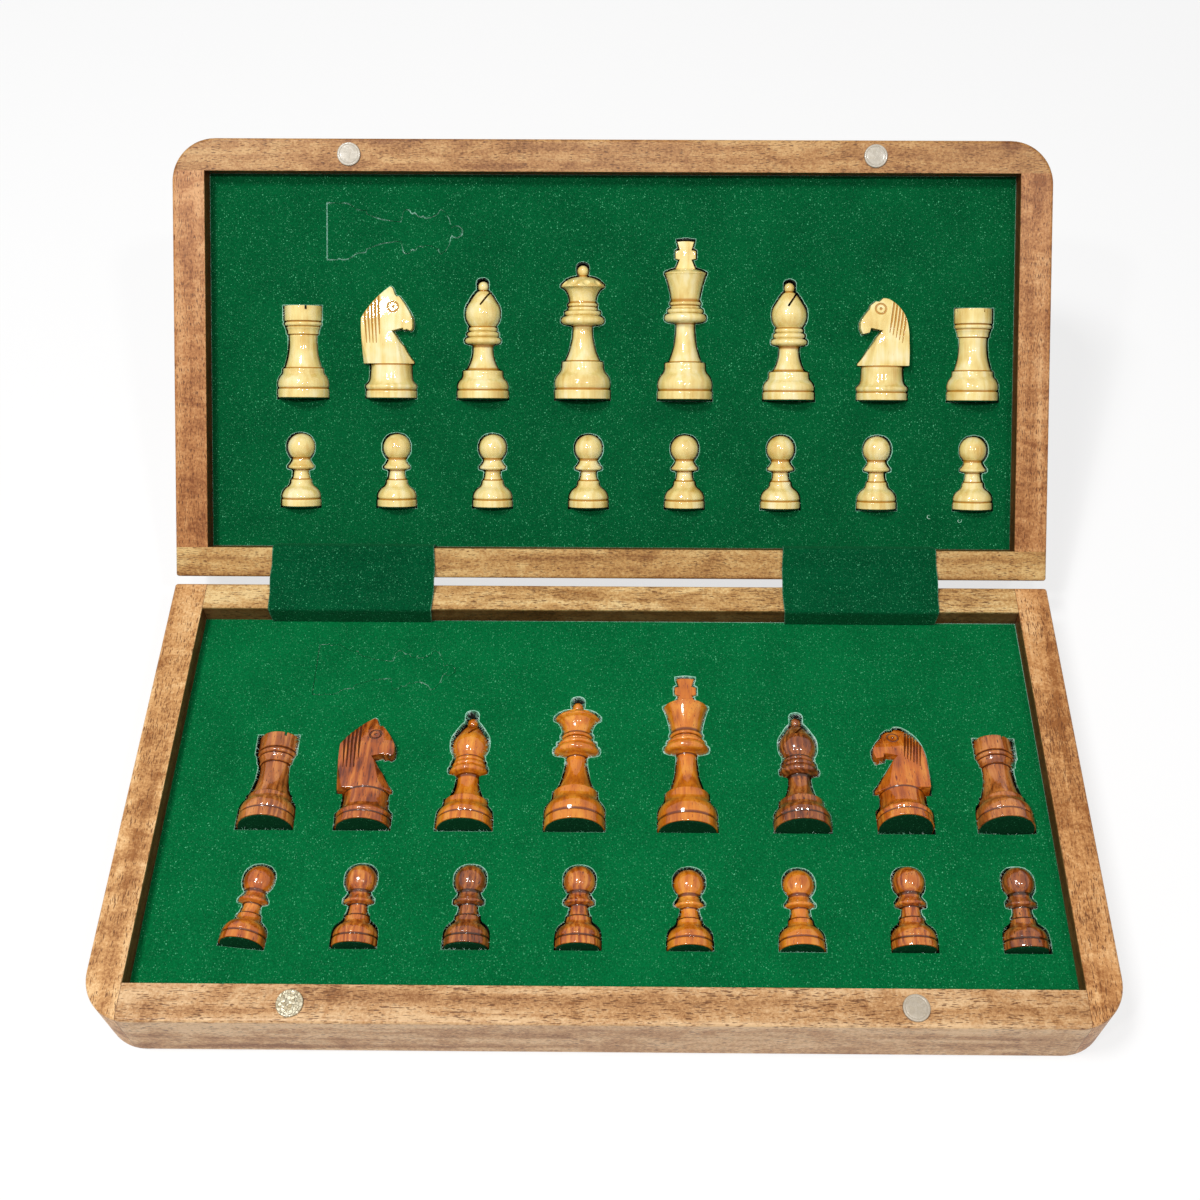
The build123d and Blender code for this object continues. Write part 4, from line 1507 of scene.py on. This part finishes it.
@dataclass
class ChessSet:
    """Both colours of the set, each piece modelled once and copied into its wells."""

    carver: Carver = field(default_factory=Carver)
    patterns: dict = field(default_factory=dict)
    finishes: dict = field(default_factory=dict)
    neck_top: float = 12.2
    groove_reach: float = 0.26

    def pattern(self, kind: Piece, faces: int = 1, grooves: int = 5) -> Object:
        """The first of a kind, upright on the origin, with its hollows marked.

        Args:
            kind: the kind of piece.
            faces: the way a knight looks, 1 to the right and -1 to the left.
            grooves: the grooves of a knight's mane.
        Returns:
            The pattern to copy.
        """
        key = (kind.man, faces, grooves)
        if key in self.patterns:
            return self.patterns[key]
        turning = kind.turning()
        piece = turning.turn(f"pattern_{kind.man.value}")
        if kind.man is Man.KNIGHT:
            piece = self.carver.knight(piece, grooves, faces)
        elif kind.man is not Man.PAWN:
            piece = getattr(self.carver, kind.man.value)(piece)
        if faces < 0:
            piece.data.transform(Matrix.Scale(-1, 4, (1, 0, 0)))
            outward(piece)
        smooth(piece, 32)
        hollows = turning.hollows()
        store(piece, "groove", [self.lacquer_and_shade_share(kind, vert.co / MM, hollows) for vert in piece.data.vertices])
        if kind.man is Man.KNIGHT:
            self.mark_carving(piece, faces, grooves)
        self.patterns[key] = piece
        log.info("pattern %s: %d faces", kind.man.value, len(piece.data.polygons))
        return piece

    def lacquer_and_shade_share(self, kind: Piece, place: Vector, hollows: list[Point]) -> float:
        """How much of the groove colour, partly lacquer and partly painted shade, a place of a turned piece
        gets, from 0 to 1.

        Args:
            kind: the kind of piece.
            place: the place in millimetres.
            hollows: the inner corners of the turned outline.
        Returns:
            The share.
        """
        if kind.man is Man.KNIGHT and place.z > self.neck_top:
            return 0.0
        reach = math.hypot(place.x, place.y)
        near = min(math.hypot(reach - radius, place.z - height) for radius, height in hollows)
        return math.exp(-((near / self.groove_reach) ** 2))

    def mark_carving(self, piece: Object, faces: int, grooves: int) -> None:
        """Mark the faces of a knight's mane grooves and eyes.

        Args:
            piece: the knight.
            faces: the way it looks.
            grooves: the grooves of its mane.
        """
        lines = self.carver.mane_lines(grooves, faces)
        values = []
        for face in piece.data.polygons:
            centre = face.center / MM
            sunk = self.carver.cheek(centre.z) - abs(centre.y)
            cut = abs(face.normal.y) < 0.88 or face.area < 0.8 * MM * MM
            spot = Vector((centre.x * faces, centre.z))
            carved = cut and 0.03 < sunk < 1.2 and spot.y > 18.0 and self.carver.is_carved(spot, lines)
            values.append(1.0 if carved else 0.0)
        store(piece, "carved", values, "FACE")

    def seat(self, seat: Seat, half: Half, count: int) -> None:
        """Lay one piece and its felt pad in its well.

        Args:
            seat: the well.
            half: the half that holds it.
            count: the piece's number, which sets its grain.
        """
        node = f"{half.shade}_{seat.name}"
        grooves = 6 if half is BASE and seat.name == "knight_right" else 5
        piece = copy_of(self.pattern(seat.kind, seat.faces, grooves), f"{node}_wood")
        dice = random.Random(count)
        turn = Matrix.Rotation(dice.uniform(0, 2 * math.pi), 3, "Z")
        start = Vector((dice.uniform(6, 26), dice.uniform(-4, 4), dice.uniform(0, 400)))
        store(piece, "grain", [turn @ (vert.co / MM) + start for vert in piece.data.vertices])
        place = seat.place(half)
        if seat.kind.man in (Man.ROOK, Man.QUEEN):
            place = place @ Matrix.Rotation(dice.uniform(-0.5, 0.5), 4, "Z")
        pad = self.pad(seat, node)
        low = min((place @ vert.co).z for vert in piece.data.vertices)
        rise = Matrix.Translation((0, 0, max(0.0, (half.floor_top + half.rest_gap) * MM - low)))
        dress(piece, self.finish("light" if half is LID else seat.tone))
        dress(pad, self.finishes["pad"])
        for part in (piece, pad):
            part.data.transform(half.settle() @ rise @ place)
            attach(part, node)
        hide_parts(node)
        log.info("%s in its well", node)

    def pad(self, seat: Seat, node: str) -> Object:
        """The felt disc under a foot, with a soft edge.

        Args:
            seat: the well, which says how large the foot is.
            node: the piece's name.
        Returns:
            The pad, under the upright piece.
        """
        radius = (seat.kind.foot_radius - 0.45) * MM
        pad = add(
            bpy.ops.mesh.primitive_circle_add, f"{node}_pad", vertices=64, radius=radius, fill_type="NGON",
            location=(0, 0, 0),
        )
        with Editing(pad) as edit:
            bpy.ops.mesh.extrude_region_move(TRANSFORM_OT_translate={"value": (0, 0, -0.48 * MM)})
            edit.pick("edges", lambda edge: middle(edge).z < -0.4 * MM)
            bpy.ops.mesh.bevel(offset=0.2 * MM, segments=3, affect="EDGES")
        outward(pad)
        smooth(pad)
        return pad

    def finish(self, tone: str) -> bpy.types.Material:
        """The lacquered wood of a tone, made once."""
        if tone not in self.finishes:
            *colours, pitch, contrast, limit, pores = TIMBERS[tone]
            timber = Timber(*(srgb(*colour) for colour in colours), pitch, contrast, limit, pores)
            self.finishes[tone] = timber.material(f"{tone}_timber")
        return self.finishes[tone]

    def build(self) -> None:
        """Fill every well of both halves."""
        # The pads' felt is far darker than the liner's: painted shade under the feet
        self.finishes["pad"] = Felt(srgb(4, 50, 26), srgb(2, 34, 18), specks=0.3).material("pad_felt")
        for count, (half, seat) in enumerate((half, seat) for half in HALVES for seat in SEATS):
            self.seat(seat, half, count)
        for pattern in self.patterns.values():
            bpy.data.objects.remove(pattern)


# The case


@dataclass(frozen=True)
class LinerLook:
    """The felt of one half and the fibres along its cuts, which stand closer and longer in the base."""

    body: Colour
    low: Colour
    pitch: float
    length: Point
    seed: int
    spare: float
    lint: tuple = ()


# The lid's felt is given darker body and low colours than the base's: painted shade
LOOKS = {
    "base": LinerLook(srgb(2, 104, 54), srgb(0, 80, 40), 0.3, (0.25, 1.05), 7, 0.36),
    "lid": LinerLook(
        srgb(2, 88, 46), srgb(0, 66, 34), 0.6, (0.15, 0.5), 11, 0.52, ((112.6, 11.6, 0.3), (123.3, 10.2, 1.9))
    ),
}


@dataclass
class CaseHalf:
    """The rails, floor, field, tray and liner of one half."""

    half: Half
    liner_size: Point = (2 * INNER, 131.0)
    rim_width: float = 0.26
    rim_drop: float = 0.08
    fray_radius: float = 0.035
    level_slack: float = 0.05

    @property
    def look(self) -> LinerLook:
        """The look of this half's liner."""
        return LOOKS[self.half.name]

    def build(self) -> None:
        """Dress the rails and model what is soft."""
        self.rails()
        self.field()
        self.tray()
        self.liner()

    def node(self, name: str) -> str:
        """The full name of one of this half's nodes."""
        return f"{self.half.name}_{name}"

    def rails(self) -> None:
        """Four pieces of the same hardwood, each with its own grain and a tint that is partly painted light.
        """
        base, lean = self.half is BASE, self.half.lean
        # Tints of the rails: partly each rail's own tone, partly painted light that lightens the base's rails
        # and darkens the lid's
        base_tints = (1.0, 1.1, 1.3), (1.06, 1.28, 1.34), (1.18, 1.27, 1.36), (1.13, 1.13, 1.16)
        lid_tints = (0.78, 0.76, 0.66), (0.9, 1.0, 0.9), (0.84, 0.72, 0.64), (0.92, 0.84, 0.8)
        rails = (
            ("front_rail", True, 11.0, 0.58), ("hinge_rail", True, 57.0, 0.58),
            ("left_rail", False, 93.0, 0.55), ("right_rail", False, 131.0, 0.4),
        )
        woods = {"floor_panel": CaseWood(True, lean, 171.0, 0.2)}
        for (name, along_x, shift, warmth), tint in zip(rails, base_tints if base else lid_tints):
            seam = INNER if base and along_x else 0.0
            woods[name] = CaseWood(along_x, lean, shift, warmth, seam, self.half, tint)
        for name, wood in woods.items():
            cover_node(self.node(name), wood.material(self.node(name)))
            log.info("%s dressed", self.node(name))

    def field(self) -> None:
        """The playing field's squares and the sheet under them."""
        lean = self.half.lean
        for node, name, finish in (
            ("light_squares", "pale_veneer", Veneer(srgb(186, 148, 96), srgb(226, 196, 142), lean)),
            ("dark_squares", "dark_veneer", Veneer(srgb(70, 38, 20), srgb(122, 74, 40), lean)),
            ("steel_sheet", "sheet_steel", Metal(srgb(170, 172, 176), srgb(130, 130, 132), 0.4, lean)),
        ):
            cover_node(self.node(node), finish.material(self.node(name)))

    def tray(self) -> None:
        """The foam block with its wells."""
        node = self.node("foam_tray")
        tray = copy_of(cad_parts[node], f"{node}_block")
        outward(tray)
        smooth(tray, 30)
        dress(tray, Foam().material(f"{node}_foam"))
        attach(tray, self.half.name)
        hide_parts(node)
        log.info("%s modelled", node)

    def liner(self) -> None:
        """The felt sheet, cut round every piece, with the fibres along its cuts."""
        node = self.node("felt_liner")
        liner = self.blank(f"{node}_sheet")
        dies = [Die(seat, *DIE_ROOM[seat.kind.man]) for seat in SEATS]
        for plate in [plate for die in dies for plate in die.cutters(self.half)]:
            carve(liner, plate)
        self.spare_cut(liner)
        outward(liner)
        rim = self.round_rim(liner)
        fray = self.fray(liner, rim)
        for index in rim:
            liner.data.vertices[index].co.z -= self.rim_drop * MM
        smooth(liner, 8)
        dress(liner, Felt(self.look.body, self.look.low, has_cut=True).material(f"{node}_felt"))
        for piece in (liner, fray):
            piece.data.transform(self.half.settle())
            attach(piece, self.half.name)
        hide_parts(node)
        width, depth = self.liner_size
        f"{self.node('foam_tray')}_block"

    def blank(self, name: str) -> Object:
        """The felt sheet before the die has cut it, flat."""
        width, depth = self.liner_size
        low, high = self.half.tray_top, self.half.felt_top
        return add(
            bpy.ops.mesh.primitive_cube_add, name, size=MM, scale=(width, depth, high - low),
            location=Vector((0, self.half.liner_edge + depth / 2, (low + high) / 2)) * MM,
        )

    def spare_cut(self, liner: Object) -> None:
        """Cut the outline of the spare queen, whose plug stays in.

        Args:
            liner: the felt sheet, flat.
        """
        inset, across, width = 41.7, 111.0, 0.16
        queen = Die(next(seat for seat in SEATS if seat.kind is QUEEN), gap=0.0, head_gap=0.0, top_gap=0.0)
        level = (self.half.tray_top + self.half.felt_top) / 2
        place = Matrix.Translation(Vector((inset - INNER, self.half.liner_edge + across, level)) * MM)
        place = place @ spin(-90, "Z")
        ring = queen.plate(queen.widths(0.0), place, width, queen.thickness)
        carve(ring, queen.plate(queen.widths(0.0), place, 0.0, 2.0))
        carve(liner, ring)

    def is_top(self, height: float) -> bool:
        """Whether a height in metres is that of the flat felt's upper face."""
        return abs(height - self.half.felt_top * MM) < self.level_slack * MM

    def round_rim(self, liner: Object) -> set[int]:
        """Inset the upper face, so that the cut edges can be rounded, and mark them.

        Args:
            liner: the felt sheet, flat.
        Returns:
            The vertices on the upper edges.
        """
        with Editing(liner) as edit:
            edit.pick("faces", lambda face: face.normal.z > 0.9 and self.is_top(middle(face).z))
            bpy.ops.mesh.inset(thickness=self.rim_width * MM, use_even_offset=True, use_boundary=True)
            inner = {vert.index for face in edit.mesh().faces if face.select for vert in face.verts}
        outer = [vert for vert in liner.data.vertices if vert.index not in inner]
        rim = {vert.index for vert in outer if self.is_top(vert.co.z)}
        values = [0.0] * len(liner.data.vertices)
        for vert in outer:
            values[vert.index] = self.frost(vert.co) * (1.0 if vert.index in rim else 0.55)
        store(liner, "cut", values)
        return rim

    def frost(self, place: Vector) -> float:
        """How frayed the cut is: most at the heads, and in patches.

        Args:
            place: a place on the flat felt, in metres.
        Returns:
            The share, up to 1.3.
        """
        depth, x = place.y / MM - self.half.liner_edge, place.x / MM
        if depth > 100.0 and x < -40.0:
            return max(0.0, self.look.spare + 0.5 * noise.noise(place / MM * 0.4))
        heads = depth > BACK_ROW + 20.0 or PAWN_ROW + 11.0 < depth < 48.0
        level = (0.9 if heads else 0.45) + 0.5 * noise.noise(place / MM * 0.13)
        if self.half is BASE and depth > BACK_ROW + 26.0:
            loose = [seat for seat in SEATS if seat.kind in (BISHOP, QUEEN, KING)]
            if any(abs(x - seat.x()) < 8.0 for seat in loose):
                level += 0.6
        return min(1.3, max(0.0, level))

    def cut_edges(self, liner: Object, rim: set[int]) -> Iterator[tuple[Vector, Vector, Vector]]:
        """Every short stretch of cut edge round the wells.

        Args:
            liner: the felt sheet, flat.
            rim: the vertices on the upper edges.
        Yields:
            The stretch's two ends and the way into the well.
        """
        mesh = bmesh.new()
        mesh.from_mesh(liner.data)
        border, depth = 1.0, self.liner_size[1]
        low, high = (self.half.liner_edge + border) * MM, (self.half.liner_edge + depth - border) * MM
        for edge in mesh.edges:
            walls = [face for face in edge.link_faces if abs(face.normal.z) < 0.5]
            upper = all(vert.index in rim for vert in edge.verts) and len(edge.link_faces) == 2
            place = middle(edge)
            inside = abs(place.x) <= (INNER - border) * MM and low < place.y < high
            if upper and inside and len(walls) == 1:
                yield edge.verts[0].co.copy(), edge.verts[1].co.copy(), walls[0].normal.copy()
        mesh.free()

    def fray(self, liner: Object, rim: set[int]) -> Object:
        """Pale fibres that stand up along the cut edges.

        Args:
            liner: the felt sheet, flat.
            rim: the vertices on its upper edges.
        Returns:
            The fibres as one mesh.
        """
        dice = random.Random(self.look.seed)
        curve = bpy.data.curves.new(self.node("fray"), "CURVE")
        curve.dimensions = "3D"
        curve.bevel_depth = self.fray_radius * MM
        curve.bevel_resolution = 0
        curve.resolution_u = 1
        for start, end, inward in self.cut_edges(liner, rim):
            frost = self.frost(start)
            loose = 1.4 if frost > 1.0 else 1.0
            count = int((end - start).length / MM * frost**2 * loose / self.look.pitch + dice.random())
            for _ in range(count):
                foot = start.lerp(end, dice.random())
                reach = dice.uniform(*self.look.length) * loose * MM
                along = (end - start).normalized() * dice.uniform(-0.8, 0.8)
                way = inward * dice.uniform(0.3, 1.0) + along + Vector((0, 0, dice.uniform(-0.5, 0.5)))
                way.normalize()
                bend = Vector((dice.uniform(-0.5, 0.5), dice.uniform(-0.5, 0.5), -0.3)) * reach
                shares = (0.0, 0.5, 1.0)
                places = [foot + way * reach * share + bend * share * share for share in shares]
                self.thread(curve, places, [1.0 - 0.45 * share for share in shares])
        self.lint(curve)
        take(placed(self.node("felt_fray"), curve))
        bpy.ops.object.convert(target="MESH")
        fibres = bpy.context.active_object
        dress(fibres, Fibre().material(self.node("fibre")))
        log.info("%s fray: %d faces", self.half.name, len(fibres.data.polygons))
        return fibres

    def thread(self, curve: bpy.types.Curve, places: Sequence[Vector], radii: Sequence[float]) -> None:
        """Add one thread through some places.

        Args:
            curve: the fibres in the making.
            places: the thread's places, in metres.
            radii: its share of the fibres' radius at each place.
        """
        line = curve.splines.new("POLY")
        line.points.add(len(places) - 1)
        for point, place, radius in zip(line.points, places, radii):
            point.co = (*place, 1.0)
            point.radius = radius

    def lint(self, curve: bpy.types.Curve) -> None:
        """Curled pale threads that lie on the lid's felt.

        Args:
            curve: the fibres in the making.
        """
        for x, depth, turn in self.look.lint:
            centre = Vector((x, self.half.liner_edge + depth, self.half.felt_top + 0.12))
            places = []
            for step in range(10):
                angle, radius = turn + 0.55 * step, 0.35 + 0.06 * step
                places.append((centre + Vector((math.cos(angle), math.sin(angle), 0)) * radius) * MM)
            self.thread(curve, places, [2.6] * len(places))


@dataclass
class HingeCovers:
    """Two felt strips over the hinges, from one liner to the other."""

    places: tuple = ((-90.0, 56.7), (87.0, 53.5))
    thickness: float = 0.8
    gap: float = 0.1
    crest: float = 2.64
    ramp: float = 5.0
    rail: float = 10.3
    fold: float = 1.0
    columns: int = 56

    def line(self) -> list[Vector]:
        """The strip's middle line at rest, in millimetres: Y and Z."""
        off = self.gap + self.thickness / 2
        face, foot = BASE.face + off, BASE.felt_top + off
        base_wall, lid_wall = BASE.y(self.rail) - off, LID.y(self.rail) + off
        bisector = math.radians(90 + LID.lean / 2)
        axis = Vector((BASE.hinge_y, BASE.hinge_z))
        base = [(base_wall, foot), (base_wall, face), (BASE.hinge_y - self.ramp, face)]
        lid = [(BASE.hinge_y + self.ramp, face), (lid_wall, face), (lid_wall, foot)]
        raised = [LID.settle() @ (Vector((0, *place)) * MM) / MM for place in lid]
        ridge = axis + Vector((math.cos(bisector), math.sin(bisector))) * self.crest
        return [Vector(place) for place in base] + [ridge] + [Vector((place.y, place.z)) for place in raised]

    def eased(self) -> list[Vector]:
        """The middle line with rounded folds, a place every half millimetre or so."""
        corners = self.line()
        places = [corners[0]]
        for before, here, after in zip(corners, corners[1:], corners[2:]):
            low = here + (before - here).normalized() * self.fold
            high = here + (after - here).normalized() * self.fold
            for step in range(6):
                share = step / 5
                places.append(low.lerp(here, share).lerp(here.lerp(high, share), share))
        places.append(corners[-1])
        dense = [places[0]]
        for before, here in zip(places, places[1:]):
            pieces = max(1, round((here - before).length / 0.7))
            dense += [before.lerp(here, (step + 1) / pieces) for step in range(pieces)]
        return dense

    def build(self) -> None:
        """Model both strips in the shape they take over the open hinge."""
        felt = Felt(srgb(0, 78, 42), srgb(0, 56, 30), specks=0.8, has_cut=True).material("cover_felt")
        for side, (x, width) in zip(("left", "right"), self.places):
            cover = self.strip(f"hinge_cover_{side}", x, width)
            dress(cover, felt)
            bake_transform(cover)
            length = sum((b - a).length for a, b in zip(self.line(), self.line()[1:])) * MM
            if side == "left":
                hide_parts("hinge_felt_covers")
            log.info("%s: %.1f by %.1f mm", cover.name, width, length / MM)

    def strip(self, name: str, x: float, width: float) -> Object:
        """One strip, with its side edges drawn in at the folds.

        Args:
            name: the piece's name.
            x: the middle of the strip.
            width: its width.
        Returns:
            The strip in its place.
        """
        line = self.eased()
        last = len(line) - 1
        cover = add(
            bpy.ops.mesh.primitive_grid_add, name, x_subdivisions=self.columns, y_subdivisions=last, size=1
        )
        dice = random.Random(int(width * 10))
        edge_values = []
        for vert in cover.data.vertices:
            row = round((vert.co.y + 0.5) * last)
            across, place, share = vert.co.x * 2, line[row], row / last
            half_width = width / 2 + (0.9 * math.sin(math.pi * share) - 0.6)
            ripple = 0.05 * math.sin(across * 9 + share * 5) + dice.uniform(-0.015, 0.015)
            vert.co = Vector((x + across * half_width, place.x, place.y + ripple * 0.5)) * MM
            frayed = (1 - abs(across)) * half_width < 0.35 or row == last
            edge_values.append(0.45 if frayed else 0.0)
        store(cover, "cut", edge_values)
        outward(cover)
        apply_modifier(cover, "SOLIDIFY", thickness=self.thickness * MM, offset=0.0)
        with Editing(cover):
            bpy.ops.mesh.normals_make_consistent(inside=False)
        smooth(cover, 60)
        return cover


@dataclass
class ClosureMagnets:
    """Four round magnets in the front rails, each under a skin of clear glue."""

    spacing: float = 182.0
    inset: float = 5.5
    radius: float = 4.0
    proud: float = 0.85
    depth: float = 152.5
    looks: dict = field(
        default_factory=lambda: {
            ("base", "left"): GluedMagnet(srgb(196, 186, 158), srgb(250, 240, 208), 0.85, 0.2),
            ("base", "right"): GluedMagnet(srgb(170, 158, 140), srgb(206, 196, 180), 0.12, 0.3),
            ("lid", "left"): GluedMagnet(srgb(176, 168, 154), srgb(206, 200, 188), 0.1, 0.5),
            ("lid", "right"): GluedMagnet(srgb(168, 160, 146), srgb(200, 194, 180), 0.1, 0.45),
        }
    )

    def build(self) -> None:
        """Model all four, each pair in the place of its node."""
        for half in HALVES:
            for side, name in ((-1, "left"), (1, "right")):
                magnet = self.magnet(f"{half.name}_magnet_{name}")
                place = Vector((side * self.spacing / 2, half.y(self.depth - self.inset), half.face)) * MM
                magnet.data.transform(half.settle() @ Matrix.Translation(place))
                dress(magnet, self.looks[(half.name, name)].material(magnet.name))
                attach(magnet, half.name)
                if name == "left":
                    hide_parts(f"{half.name}_closure_magnets")
            log.info("%s closure magnets modelled", half.name)

    def magnet(self, name: str) -> Object:
        """One magnet, its bore's mouth at the origin.

        Args:
            name: the piece's name.
        Returns:
            The magnet.
        """
        radius, proud = self.radius, self.proud
        steps = (
            (radius, proud - 3.0), (radius, proud - 0.32), (radius - 0.22, proud - 0.08, 0.06),
            (radius - 0.65, proud - 0.05), (radius - 0.8, proud - 0.16), (radius - 0.95, proud - 0.06),
            (0.02, proud, 0.02),
        )
        magnet = Turning(steps, soften=0.04, segments=64).turn(name)
        smooth(magnet, 40)
        return magnet


@dataclass
class Hinges:
    """Leaves, pins and screws, which keep their shape."""

    plated: Metal = Metal(srgb(198, 192, 180), srgb(150, 140, 122), 0.3)
    brass: Metal = Metal(srgb(188, 172, 132), srgb(140, 124, 92), 0.28)

    def build(self) -> None:
        """Dress the metal of both hinges."""
        plate = self.plated.material("hinge_plate")
        for node in ("base_hinge_leaves", "lid_hinge_leaves", "hinge_pins"):
            cover_node(node, plate)
        screw = self.brass.material("screw_brass")
        for half in HALVES:
            cover_node(f"{half.name}_hinge_screws", screw)
        log.info("hinges dressed")


# Stage


@dataclass
class Studio:
    """A white floor, soft lamps and the camera of the photograph."""

    centre: tuple = (9.13, -221.37, 466.36)
    right: tuple = (0.99996153, 0.00845106, -0.00234799)
    down: tuple = (0.00521316, -0.78791891, -0.61575694)
    ahead: tuple = (-0.00705382, 0.61572102, -0.78793266)
    focus: float = 1516.55
    middle: tuple = (626.09, 479.64)
    frame_size: float = 1200.0
    sensor: float = 36.0
    aim: tuple = (0, 0.05, 0.03)

    def build(self) -> None:
        """Set up floor, lamps, sky and camera."""
        self.floor()
        self.lamp("overhead", (-0.42, -0.1, 1.3), 0.24, 11.0)
        # Three small lamps whose glints show in the lacquer
        for count, x in enumerate((-0.5, 0.0, 0.45)):
            self.lamp(f"glint_{count}", (x, -0.48, 1.15), 0.075, 2.9)
        self.sky()
        self.camera()
        bpy.context.scene.view_settings.view_transform = "Standard"

    def floor(self) -> None:
        """A wide white floor, its edge turned up softly."""
        floor = add(
            bpy.ops.mesh.primitive_grid_add, "floor", x_subdivisions=40, y_subdivisions=40, size=6.0,
            location=(0, 0, 0),
        )
        for vert in floor.data.vertices:
            away = max(0.0, math.hypot(vert.co.x, vert.co.y) - 1.6)
            vert.co.z = 0.25 * away * away - 0.0002
        smooth(floor, 60)
        recipe = Recipe("white_floor")
        recipe.done(base_color=(0.86, 0.86, 0.86), roughness=0.9)
        glow = recipe.wire("ShaderNodeEmission", 0, {"Strength": 1.0, "Color": (1.0, 1.0, 1.0)})
        share = recipe.times(recipe.seen(), 0.72)
        blend = recipe.wire("ShaderNodeMixShader", 0, {0: share, 1: recipe.shader.outputs[0], 2: glow})
        recipe.feed(recipe.tree.nodes["Material Output"].inputs["Surface"], blend)
        dress(floor, recipe.material)

    def lamp(self, name: str, place: Sequence[float], size: float, watts: float) -> None:
        """One square area lamp that looks at the case.

        Args:
            name: the lamp's name.
            place: where it hangs, in metres.
            size: its side.
            watts: its power.
        """
        light = bpy.data.lights.new(name, "AREA")
        light.shape = "RECTANGLE"
        light.size = light.size_y = size
        light.energy = watts
        lamp = placed(name, light)
        lamp.location = place
        lamp.rotation_mode = "QUATERNION"
        lamp.rotation_quaternion = (Vector(self.aim) - Vector(place)).to_track_quat("-Z", "Y")

    def sky(self) -> None:
        """An even white sky, fully white where it is seen."""
        world = bpy.data.worlds.new("studio")
        bpy.context.scene.world = world
        world.use_nodes = True
        nodes = Nodes(world.node_tree)
        sky = nodes.tree.nodes["Background"]
        shares = {"Value": nodes.seen(), "To Min": 0.22, "To Max": 1.0}
        nodes.feed(sky.inputs["Strength"], nodes.wire("ShaderNodeMapRange", "Result", shares))
        nodes.feed(sky.inputs["Color"], (1.0, 1.0, 1.0))

    def camera(self) -> None:
        """The camera, from its measured place, heading and focal length."""
        lens = bpy.data.cameras.new("camera")
        lens.sensor_width = self.sensor
        lens.lens = self.focus / self.frame_size * self.sensor
        half = self.frame_size / 2
        lens.shift_x = (half - self.middle[0]) / self.frame_size
        lens.shift_y = (self.middle[1] - half) / self.frame_size
        lens.clip_start, lens.clip_end = 0.01, 20.0
        camera = placed("camera", lens)
        right, down, ahead = (Vector(axis) for axis in (self.right, self.down, self.ahead))
        turn = Matrix((right, -down, -ahead)).transposed()
        camera.matrix_world = Matrix.Translation(Vector(self.centre) * MM) @ turn.to_4x4()
        bpy.context.scene.camera = camera


def main() -> None:
    """Build the case, its pieces and the studio."""
    logging.basicConfig(level=logging.INFO, format="%(message)s")
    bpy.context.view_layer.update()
    for half in HALVES:
        CaseHalf(half).build()
    HingeCovers().build()
    ClosureMagnets().build()
    Hinges().build()
    ChessSet().build()
    Studio().build()


if __name__ == "__main__":
    main()
